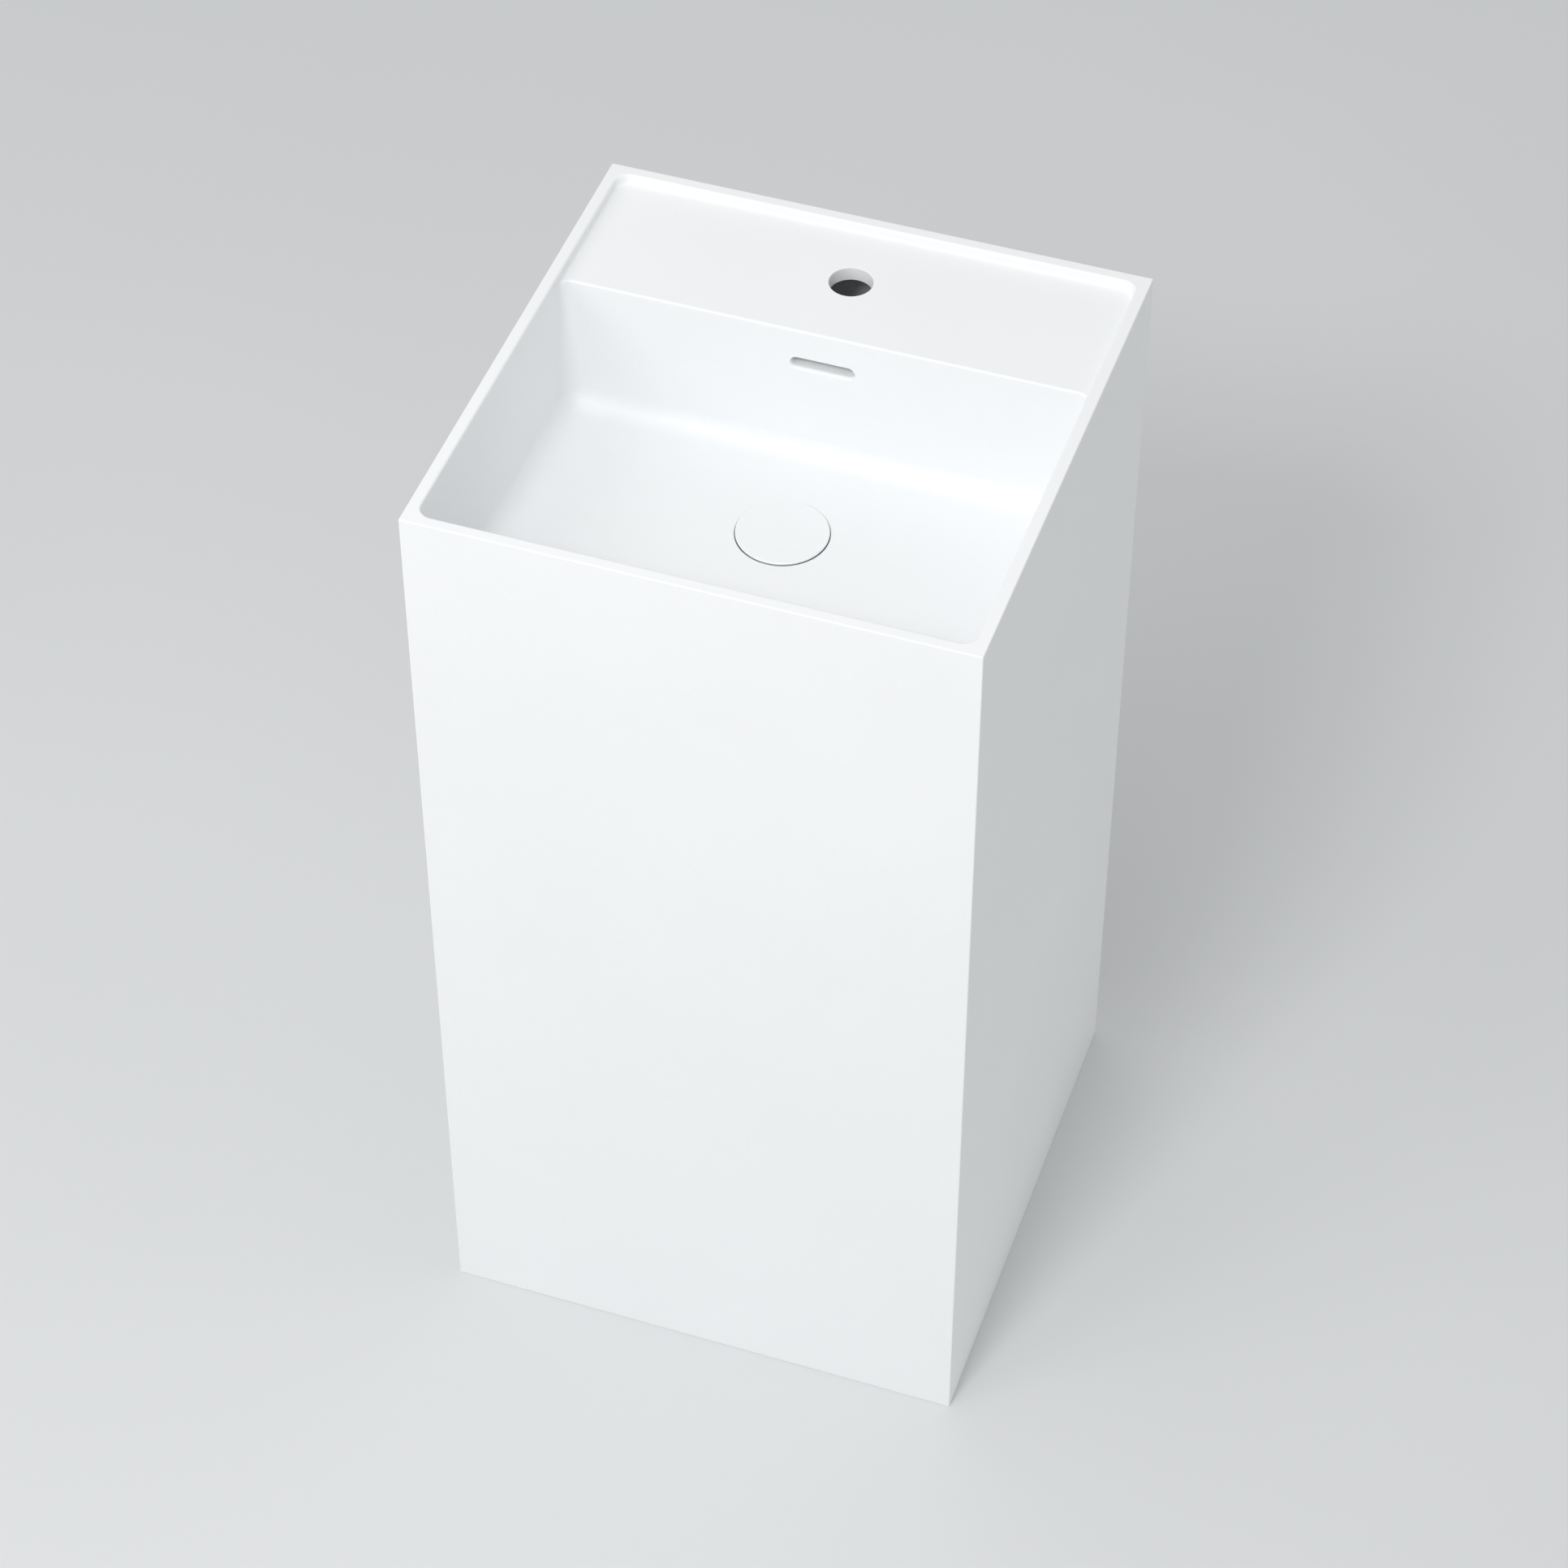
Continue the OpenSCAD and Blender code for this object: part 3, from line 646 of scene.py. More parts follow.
def smooth(thing: bpy.types.Object, crease: float = 34) -> bpy.types.Object:
    """Shades an object smooth apart from its creases, with flat faces kept flat.

    Args:
        thing: The object.
        crease: Angle in degrees above which an edge stays sharp.

    Returns:
        The same object.
    """
    thing.data.shade_smooth()
    thing.data.set_sharp_from_angle(angle=math.radians(crease))
    weights = thing.modifiers.new("flats", "WEIGHTED_NORMAL")
    weights.keep_sharp = True
    weights.weight = 90
    return thing


def dressed(thing: bpy.types.Object, material: bpy.types.Material) -> bpy.types.Object:
    """Gives an object one material and clears any others.

    Args:
        thing: The object.
        material: The material.

    Returns:
        The same object.
    """
    thing.data.materials.clear()
    thing.data.materials.append(material)
    return thing


def slab(name: str, low: Vector, high: Vector, edge: float = 0.0, steps: int = 5) -> bpy.types.Object:
    """Makes a block between two corners.

    Args:
        name: Name of the object.
        low: Lowest corner.
        high: Highest corner.
        edge: Radius of its edges, which may be 0.
        steps: Chords across each rounded edge.

    Returns:
        The new object.
    """
    bm = bmesh.new()
    bmesh.ops.create_cube(bm, size=1)
    bmesh.ops.scale(bm, vec=high - low, verts=bm.verts)
    bmesh.ops.translate(bm, vec=(high + low) / 2, verts=bm.verts)
    if edge:
        bmesh.ops.bevel(bm, geom=bm.edges, offset=edge, segments=steps, profile=0.5, affect="EDGES")
    return new_object(name, bm)


# ---- Sub-assemblies ----


@dataclass
class Assembly:
    """A group of pieces that would lie together on the bench.

    Args:
        palette: Where their materials come from.
        crease: Angle in degrees above which a kept node's edges are softened.
    """

    palette: Palette
    crease: float = 40

    def slot_of(self, node: str) -> Slot:
        """Gives the material slot that the record gives a node."""
        parts = frame["record"]["subparts"]
        return next(Slot(part["material_slot"]) for part in parts if part["node"] == node)

    def keep(self, node: str, edge: float = 0.3 * MM) -> str:
        """Dresses a node that keeps its shape, and softens its sharp edges.

        Args:
            node: Name of the node.
            edge: Width of the softened edges.

        Returns:
            The node's name.
        """
        thing = frame["nodes"][node]
        dressed(thing, self.palette.slot(self.slot_of(node)))
        thing.modifiers.new("weld", "WELD").merge_threshold = 0.002 * MM
        bevel = thing.modifiers.new("edges", "BEVEL")
        bevel.limit_method = "ANGLE"
        bevel.angle_limit = math.radians(self.crease)
        bevel.width = edge
        bevel.segments = 2
        bevel.use_clamp_overlap = True
        thing.modifiers.new("flats", "WEIGHTED_NORMAL").keep_sharp = False
        return node

    def stand(self, thing: bpy.types.Object, *nodes: str) -> str:
        """Puts a piece in the place of nodes of one body and one slot.

        Args:
            thing: The piece.
            nodes: Names of the nodes.

        Returns:
            The piece's name.
        """
        bodies = frame["record"]["behaviour"]["bodies"]
        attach(thing, next(body for body, names in bodies.items() if nodes[0] in names))
        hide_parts(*nodes)
        self.slot_of(nodes[0]).value
        return thing.name


# ---- The stone body ----


def widening(radius: float, depth: float) -> float:
    """Gives how far a rounded edge has opened at a depth behind the face it opens in."""
    return radius - math.sqrt(radius ** 2 - (radius - depth) ** 2) if depth < radius else 0.0


@dataclass
class StoneBody(Assembly):
    """The column with its bowl, recessed tap deck and service opening, as one seamless piece of stone.

    Args:
        outer_round: Radius of the column's outside edges.
        rim_round: Radius of the rim's inside edge.
        deck_round: Radius of the deck's front edge.
        deck_cove: Radius at the foot of the wall round the deck.
        hole_round: Radius of the edges of the tap hole and of the overflow slot.
        recess_round: Radius of the edges of the drain's recess.
        slot_lip: Radius of the overflow slot's lower edge.
        floor_cove: Radius of the curve from the bowl's floor into its walls, and of the floor's corners.
        rear_corner: Radius that the bowl's rear corners narrow to at the deck.
        hollow_round: Radius of the corners inside the column.
        boss_round: Radius of the lower edge of the disc under the drain.
        slot_size: Length and height of the overflow slot.
        service_size: Width and height of the service opening.
        service_corner: Radius of its upper corners.
        service_edge: Width of its softened outer edge.
        cover_gap: Width of the gap round the drain cover.
        drain_hole: Radius of the hole under the drain cover.
        over: How far a cutting solid stands clear of what it cuts.
        run_out: How far a cutter that rounds an edge runs on past it.
        skim: How far that run has risen above the face.
        steps: Chords in each of the bowl's corners.
        nodes: The panels whose place the body takes.
    """

    outer_round: float = 1.1 * MM
    rim_round: float = 1.8 * MM
    deck_round: float = 2.0 * MM
    deck_cove: float = 2.4 * MM
    hole_round: float = 0.7 * MM
    recess_round: float = 0.5 * MM
    slot_lip: float = 3.0 * MM
    floor_cove: float = 16 * MM
    rear_corner: float = 9 * MM
    hollow_round: float = 3 * MM
    boss_round: float = 2 * MM
    slot_size: tuple[float, float] = (52 * MM, 10 * MM)
    service_size: tuple[float, float] = (280 * MM, 600 * MM)
    service_corner: float = 30 * MM
    service_edge: float = 1 * MM
    cover_gap: float = 0.6 * MM
    drain_hole: float = 22.95 * MM
    over: float = 5 * MM
    run_out: float = 1 * MM
    skim: float = 0.1 * MM
    steps: int = 14
    nodes: tuple[str, ...] = (
        "front_panel", "rear_panel", "left_panel", "right_panel", "bowl_base", "drain_boss", "bowl_wall",
        "deck_panel", "floor_coves", "corner_coves")

    def __post_init__(self) -> None:
        """Reads the body's main sizes off the frame."""
        front, deck, base = Extent("front_panel"), Extent("deck_panel"), Extent("bowl_base")
        self.wall = front.size.y
        self.low = Vector((front.low.x, front.low.y, front.low.z))
        self.high = Vector((front.high.x, Extent("rear_panel").high.y, front.high.z))
        self.in_low = self.low + Vector((self.wall, self.wall, 0))
        self.in_high = self.high - Vector((self.wall, self.wall, 0))
        self.edge_y, self.deck_z, self.deck_under = deck.low.y, deck.high.z, deck.low.z
        self.floor_z, self.floor_under = base.high.z, base.low.z
        self.behind_y = Extent("bowl_wall").high.y
        self.bowl_r = Extent("floor_coves").size.z
        self.drain = Extent("drain_cover").middle
        self.slot_z = Extent("overflow_gasket").middle.z

    def block(self) -> bpy.types.Object:
        """Makes the solid column with its edges rounded."""
        return slab("washbasin_body", self.low, self.high, self.outer_round)

    def bowl_loop(self, rear: float, z: float, tuck: float = 0.0) -> Loop:
        """Gives the bowl's outline above the curve of its floor.

        Args:
            rear: Where its rear side lies.
            z: Height of the outline.
            tuck: How far the other three sides are drawn in.

        Returns:
            The outline.
        """
        low, high = (self.in_low.x + tuck, self.in_low.y + tuck), (self.in_high.x - tuck, rear)
        return flat_loop(round_box(low, high, self.bowl_r - tuck, self.steps, self.rear_corner - tuck), z)

    def bowl(self) -> bpy.types.Object:
        """Makes the bowl's hollow: a coved floor, upright walls and a rear edge that rolls on to the deck.

        Returns:
            The cutter.
        """
        cove, roll, tuck = self.floor_cove, self.deck_round, 2 * MM
        loops = []
        for i in range(self.steps + 1):
            a = math.radians(90 * i / self.steps)
            inset = cove * (1 - math.sin(a))
            low = (self.in_low.x + inset, self.in_low.y + inset)
            high = (self.in_high.x - inset, self.edge_y - inset)
            outline = round_box(low, high, cove - inset, self.steps)
            loops.append(flat_loop(outline, self.floor_z + cove * (1 - math.cos(a))))
        for y, z in arc(self.edge_y + roll, self.deck_z - roll, roll, 180, 100, 8):
            loops.append(self.bowl_loop(y, z))
        rear, past = y + self.run_out, loops[-1][0].z + 0.17 * self.run_out
        top = self.deck_z + self.deck_cove - self.skim
        loops += [self.bowl_loop(rear, past), self.bowl_loop(rear, top)]
        loops.append(self.bowl_loop(rear, top + tuck, tuck))
        return lofted("bowl_hollow", loops)

    def recess(self) -> bpy.types.Object:
        """Makes the shallow hollow inside the rim, coved at its foot and rolled out at its top.

        Returns:
            The cutter.
        """
        cove, rim, top = self.deck_cove, self.rim_round, self.high.z
        sides = [(-inset, z) for inset, z in arc(-cove, self.deck_z + cove, cove, -90, 0, 6)]
        sides += [(-out, z) for out, z in arc(rim, top - rim, rim, 180, 96, 8)]
        sides += [(-rim - self.run_out, top + 0.12 * self.run_out), (-rim - self.run_out, top + self.over)]
        loops = []
        for inset, z in sides:
            low = (self.in_low.x + inset, self.in_low.y + inset)
            high = (self.in_high.x - inset, self.in_high.y - inset)
            loops.append(flat_loop(round_box(low, high, self.bowl_r - inset, self.steps), z))
        return lofted("recess_hollow", loops)

    def flare(self, r: float, edge: float, face: float, rise: float) -> Outline:
        """Gives the upper end of a round cutter's profile, which rounds the edge of the hole it cuts.

        Args:
            r: Radius of the hole.
            edge: Radius of its rounded edge.
            face: Height of the face that the hole opens in.
            rise: How far the cutter stands above the face.

        Returns:
            The points, from the foot of the rounded edge to the axis.
        """
        roll = arc(r + edge, face - edge, edge, 180, 98, 6)
        out = roll[-1][0] + edge
        return [*roll, (out, face + self.skim), (out, face + rise), (0, face + rise)]

    def tap_hole(self) -> bpy.types.Object:
        """Makes the cutter for the tap hole, flared at the deck.

        Returns:
            The cutter.
        """
        hole = mount("tap_hole")
        r, foot = hole["dims"]["r_mm"] * MM, self.deck_under - self.over
        profile = [(0, foot), (r, foot), *self.flare(r, self.hole_round, self.deck_z, 1.5 * MM)]
        return spun("tap_cut", profile, Vector((hole["pos_m"][0], hole["pos_m"][1], 0)))

    def slot_section(self, depth: float, upper: float, lower: float) -> Loop:
        """Gives the overflow slot's outline at a depth behind the bowl's rear face.

        Args:
            depth: The depth.
            upper: How far the outline is opened at its top.
            lower: How far it is opened at its bottom.

        Returns:
            The outline.
        """
        length, height = self.slot_size
        half, loop = height / 2, []
        for x, z in round_box((-length / 2, -half), (length / 2, half), half, 12):
            middle = math.copysign(length / 2 - half, x)
            in_end = abs(x) > abs(middle)
            out = Vector((x - middle, z)).normalized() if in_end else Vector((0, math.copysign(1, z)))
            grow = upper + (lower - upper) * (0.5 - 0.5 * out.y) ** 2
            loop.append(Vector((x + out.x * grow, self.edge_y + depth, self.slot_z + z + out.y * grow)))
        return loop

    def slot(self) -> bpy.types.Object:
        """Makes the cutter for the overflow slot, whose lower edge is rolled more than the rest.

        Returns:
            The cutter.
        """
        last, edges = 0.03 * MM, (self.hole_round, self.slot_lip)
        depths = [self.slot_lip * (1 - math.sin(math.radians(a))) for a in range(0, 80, 10)]
        loops = [self.slot_section(self.behind_y - self.edge_y + self.over, 0, 0)]
        for depth in [*depths, 0.35 * MM, 0.15 * MM, last]:
            loops.append(self.slot_section(depth, *[widening(r, depth) for r in edges]))
        run = (last + self.skim) / last
        past = [widening(r, last) + (r - widening(r, last)) * run for r in edges]
        loops += [self.slot_section(-self.skim, *past), self.slot_section(-self.over, *past)]
        return lofted("slot_cut", loops)

    def drain_recess(self) -> bpy.types.Object:
        """Makes the cutter for the drain's recess and hole.

        Returns:
            The cutter.
        """
        r, e = Extent("drain_cover").size.x / 2 + self.cover_gap, self.recess_round
        seat, foot = Extent("flange_seal").low.z, self.floor_under - 4 * self.over
        profile = [(0, foot), (self.drain_hole, foot), (self.drain_hole, seat), (r - e, seat),
                   *arc(r - e, seat + e, e, -90, 0, 4), *self.flare(r, e, self.floor_z, self.over)]
        return spun("drain_cut", profile, Vector((self.drain.x, self.drain.y, 0)), 160)

    def hollow(self) -> list[bpy.types.Object]:
        """Makes the cutters for the space in the column.

        Returns:
            The cutter under the bowl and the one behind it.
        """
        r, below = self.hollow_round, self.low.z - self.over
        turns = [math.radians(a) for a in (0, 22.5, 45, 67.5, 90)]
        cutters = []
        for name, y, z in (("under_bowl", self.in_low.y, self.floor_under),
                           ("behind_bowl", self.behind_y, self.deck_under)):
            loops = []
            crown = [(r - r * math.cos(a), z - r + r * math.sin(a)) for a in turns]
            for inset, height in [(0.0, below), *crown]:
                low = (self.in_low.x + inset, y + inset)
                high = (self.in_high.x - inset, self.in_high.y - inset)
                loops.append(flat_loop(round_box(low, high, max(r - inset, 0), 4), height))
            cutters.append(lofted(name, loops))
        return cutters

    def service(self) -> bpy.types.Object:
        """Makes the cutter for the opening in the rear wall.

        Returns:
            The cutter.
        """
        half, top, r = self.service_size[0] / 2, self.service_size[1], self.service_corner
        outline = [(-half, -self.over), (half, -self.over), *arc(half - r, top - r, r, 0, 90, 12),
                   *arc(r - half, top - r, r, 90, 180, 12)]
        e, back = self.service_edge, self.high.y
        loops = []
        for out, y in ((e, back + self.over), (e, back), (0.3 * e, back - 0.3 * e), (0.0, back - e),
                       (0.0, self.in_high.y - self.over)):
            grown = [(x + math.copysign(out, x), z + (out if z > 0 else 0)) for x, z in outline]
            loops.append([Vector((x, y, z)) for x, z in grown])
        return lofted("service_cut", loops)

    def boss(self) -> bpy.types.Object:
        """Makes the disc that thickens the floor round the waste.

        Returns:
            The disc, which reaches a little way into the floor.
        """
        box, top = Extent("drain_boss"), self.floor_under + 1 * MM
        r, e = box.size.x / 2, self.boss_round
        profile = [(0, box.low.z), (r - e, box.low.z), *arc(r - e, box.low.z + e, e, -90, 0, 4), (r, top),
                   (0, top)]
        return spun("boss", profile, Vector((self.drain.x, self.drain.y, 0)), 96)

    def dress(self, body: bpy.types.Object) -> None:
        """Finishes the body: sanded where it shows, and inside the column a greyer raw stone that is partly
        the unsanded back of the casting and partly painted shade for the dim hollow.

        Args:
            body: The body.
        """
        body.data.materials.clear()
        body.data.materials.append(self.palette.slot(Slot.STONE))
        body.data.materials.append(self.palette.take(RAW_STONE_WITH_PAINTED_SHADE))
        near = 0.2 * MM
        for face in body.data.polygons:
            c = face.center
            inside = (self.in_low.x - near < c.x < self.in_high.x + near
                      and self.in_low.y - near < c.y < self.in_high.y + near)
            behind = c.y > self.behind_y - near and c.z < self.deck_under + near
            under = behind or c.z < self.floor_under + near
            # Faces inside the column get the greyer stone, which is partly raw back and partly painted shade.
            face.material_index = 1 if inside and under and abs(c.z - self.low.z) > near else 0

    def build(self) -> list[str]:
        """Cuts the body out of the block and puts it in place of the panels.

        Returns:
            Names of the pieces.
        """
        body = self.block()
        carve(body, [self.bowl(), self.recess(), *self.hollow(), self.service()])
        carve(body, [self.boss()], "UNION")
        carve(body, [self.drain_recess(), self.tap_hole(), self.slot()])
        self.dress(body)
        smooth(body)
        return [self.stand(body, *self.nodes)]


# ---- The drain ----


@dataclass
class DrainCover(Assembly):
    """The flat stone disc over the drain.

    Args:
        edge: Radius of its upper edge.
        foot: Radius of its lower edge.
        tuck: How far its side draws in towards the bottom.
    """

    edge: float = 1.1 * MM
    foot: float = 0.5 * MM
    tuck: float = 1.6 * MM

    def build(self) -> list[str]:
        """Turns the disc and puts it in place of its node.

        Returns:
            Names of the pieces.
        """
        box = Extent("drain_cover")
        r, e, f = box.size.x / 2, self.edge, self.foot
        profile = [(0, box.low.z), *arc(r - self.tuck - f, box.low.z + f, f, -90, 0, 5),
                   *arc(r - e, box.high.z - e, e, -30, 90, 14), (r * 0.8, box.high.z), (0, box.high.z)]
        disc = spun("cover_disc", profile, Vector((box.middle.x, box.middle.y, 0)), 160)
        dressed(smooth(disc), self.palette.slot(Slot.STONE))
        return [self.stand(disc, "drain_cover")]


@dataclass
class Cartridge(Assembly):
    """The push-open cartridge and the carrier that holds the cover on it.

    Args:
        turns: Turns of the spring between its closed end coils.
        wire: Radius of the spring's wire.
    """

    turns: float = 5
    wire: float = 0.55 * MM

    def spring(self) -> bpy.types.Object:
        """Winds the spring, with its end coils closed.

        Returns:
            The spring.
        """
        box, steps = Extent("cartridge_spring"), 28
        coil, span, total = box.size.x / 2 - self.wire, box.size.z - 2 * self.wire, self.turns + 2
        closed = 2.04 * self.wire
        loops = []
        for i in range(int(total * steps) + 1):
            turn = i / steps
            rise = closed * min(turn, 1) + closed * max(turn - total + 1, 0)
            rise += (span - 2 * closed) * min(max((turn - 1) / self.turns, 0), 1)
            out = Matrix.Rotation(2 * math.pi * turn, 3, "Z") @ Vector((1, 0, 0))
            middle = Vector((box.middle.x, box.middle.y, box.low.z + self.wire + rise)) + out * coil
            loops.append([middle + out * x + Vector((0, 0, z)) for x, z in arc(0, 0, self.wire, 0, 330, 11)])
        return lofted("cartridge_coil", loops)

    def build(self) -> list[str]:
        """Dresses the cartridge's nodes and winds its spring.

        Returns:
            Names of the pieces.
        """
        coil = dressed(smooth(self.spring()), self.palette.slot(Slot.SPRING))
        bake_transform(coil)
        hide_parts("cartridge_spring")
        kept = (
            "cover_carrier", "cover_seal", "push_stem", "ratchet_ring", "cartridge_body", "cartridge_cap",
            "cartridge_nut")
        return [coil.name, *[self.keep(node) for node in kept]]


@dataclass
class Waste(Assembly):
    """The threaded waste and the stack that clamps it to the bowl.

    Args:
        tube: Outside radius of the waste's tube.
        wall: Its thickness.
        flange: Thickness of its flange.
        seat: Depth and width of the conical seat in the flange.
        window: Width and height of the four overflow windows.
        pitch: Distance from thread to thread.
        depth: Depth of the thread.
        hub: Radius, bore radius and height of the spider that holds the cartridge.
        arm: Thickness of the spider's arms.
    """

    tube: float = 20.95 * MM
    wall: float = 3 * MM
    flange: float = 3 * MM
    seat: tuple[float, float] = (4.5 * MM, 6.25 * MM)
    window: tuple[float, float] = (8 * MM, 16 * MM)
    pitch: float = 2.309 * MM
    depth: float = 0.8 * MM
    hub: tuple[float, float, float] = (8 * MM, 4.1 * MM, 8 * MM)
    arm: float = 3 * MM

    def spider(self, middle: Vector) -> bpy.types.Object:
        """Makes the hub and arms across the waste's bore.

        Args:
            middle: Middle of the hub's foot.

        Returns:
            The spider.
        """
        (r, bore, h), e = self.hub, 0.5 * MM
        ring = [(bore, 0.0), *arc(r - e, e, e, -90, 0, 3), *arc(r - e, h - e, e, 0, 90, 3), (bore, h)]
        reach = self.tube - self.wall / 2
        arms = []
        for x, y in ((reach, self.arm / 2), (self.arm / 2, reach)):
            low, high = middle - Vector((x, y, -0.1 * MM)), middle + Vector((x, y, h - 0.1 * MM))
            arms.append(slab("arm", low, high, 0.4 * MM, 2))
        core = spun("core", [(0, -h), (bore, -h), (bore, 2 * h), (0, 2 * h)], middle, 48)
        spider = spun("spider", ring, middle, 72)
        carve(spider, arms, "UNION")
        carve(spider, [core])
        return spider

    def body(self) -> bpy.types.Object:
        """Makes the waste's flange, seat and threaded tube with its windows.

        Returns:
            The waste.
        """
        box = Extent("waste_body")
        r, bore, root = box.size.x / 2, self.tube - self.wall, self.tube - self.depth
        top, under, e = box.high.z, box.high.z - self.flange, 0.9 * MM
        foot = bore + 0.8 * MM
        profile = [(bore, box.low.z), (root, box.low.z)]
        threads = int((Extent("overflow_collar").low.z - box.low.z - self.pitch) / self.pitch)
        for i in range(threads):
            z = box.low.z + (i + 0.5) * self.pitch
            profile += [(root, z), (self.tube, z + 0.4 * self.pitch), (self.tube, z + 0.6 * self.pitch)]
        profile += [(root, z + self.pitch), (root, under), (r - 0.3 * MM, under),
                    *arc(r - e, top - e, e, 0, 90, 6), (foot + self.seat[1], top), (foot, top - self.seat[0]),
                    (bore, top - self.seat[0])]
        axis = Vector((box.middle.x, box.middle.y, 0))
        body = spun("waste_tube", profile, axis, 96)
        level, (w, h) = Extent("overflow_collar").middle.z, self.window
        cutters = []
        for turn in (45, 135, 225, 315):
            cutter = slab("window", Vector((bore - 2 * MM, -w / 2, level - h / 2)),
                          Vector((self.tube + 2 * MM, w / 2, level + h / 2)), 1 * MM, 3)
            cutter.data.transform(Matrix.Translation(axis) @ Matrix.Rotation(math.radians(turn), 4, "Z"))
            cutters.append(cutter)
        carve(body, cutters)
        carve(body, [self.spider(axis + Vector((0, 0, Extent("cartridge_nut").high.z)))], "UNION")
        return body

    def build(self) -> list[str]:
        """Makes the waste and dresses the pieces that clamp it.

        Returns:
            Names of the pieces.
        """
        body = dressed(smooth(self.body()), self.palette.slot(self.slot_of("waste_body")))
        kept = ("flange_seal", "upper_washer", "overflow_collar", "lower_washer", "backnut")
        return [self.stand(body, "waste_body"), *[self.keep(node, 0.5 * MM) for node in kept]]


# ---- The overflow, the trap and the brackets ----


@dataclass
class Overflow(Assembly):
    """The overflow's housing behind the slot and its ribbed hose.

    Args:
        bend: Radius of the hose's bend, along its middle.
        cuff: Length of its plain ends.
        wall: Thickness of its wall.
        rib: Height of its ribs.
        pitch: Distance from rib to rib.
    """

    bend: float = 35 * MM
    cuff: float = 15 * MM
    wall: float = 1.6 * MM
    rib: float = 1.4 * MM
    pitch: float = 5 * MM

    def hose(self) -> bpy.types.Object:
        """Makes the hose, down from the housing and round to the collar.

        Returns:
            The hose.
        """
        box = Extent("overflow_hose")
        over = box.size.x / 2
        plain = over - self.rib
        y, z = box.high.y - over, box.low.z + over
        down, along = box.high.z - z - self.bend, y - self.bend - box.low.y
        quarter = self.bend * math.pi / 2
        total = down + quarter + along
        ribbed = total - 2 * self.cuff
        waves, per_wave, inner = round(ribbed / self.pitch), 10, 40

        def ring(s: float, r: float) -> Loop:
            """Gives one ring of points round the hose's middle line.

            Args:
                s: How far along the line the ring lies.
                r: Its radius.

            Returns:
                The ring.
            """
            a = min(max((s - down) / self.bend, 0), math.pi / 2)
            side = Vector((0, math.cos(a), -math.sin(a)))
            at = Vector((box.middle.x, y - self.bend, z + self.bend)) + side * self.bend
            at += Vector((0, -max(s - down - quarter, 0), max(down - s, 0)))
            return [at + Vector((u, 0, 0)) + side * v for u, v in arc(0, 0, r, 0, 350, 35)]

        loops = []
        for i in range(waves * per_wave + 1):
            s = self.cuff + ribbed * i / (waves * per_wave)
            crest = 0.5 - 0.5 * math.cos(2 * math.pi * i / per_wave)
            loops.append(ring(s, plain + self.rib * crest ** 0.7))
        loops = [ring(0, plain - 0.3 * MM), ring(0.4 * MM, plain), *loops, ring(total - 0.4 * MM, plain),
                 ring(total, plain - 0.3 * MM)]
        loops += [ring(total * (1 - i / inner), plain - self.wall) for i in range(inner + 1)]
        return lofted("ribbed_hose", loops, ring=True)

    def build(self) -> list[str]:
        """Makes the hose and dresses the rest.

        Returns:
            Names of the pieces.
        """
        hose = dressed(smooth(self.hose(), 60), self.palette.slot(Slot.HOSE))
        kept = ("overflow_gasket", "overflow_housing", "overflow_screws", "hose_clips")
        return [self.stand(hose, "overflow_hose"), *[self.keep(node) for node in kept]]


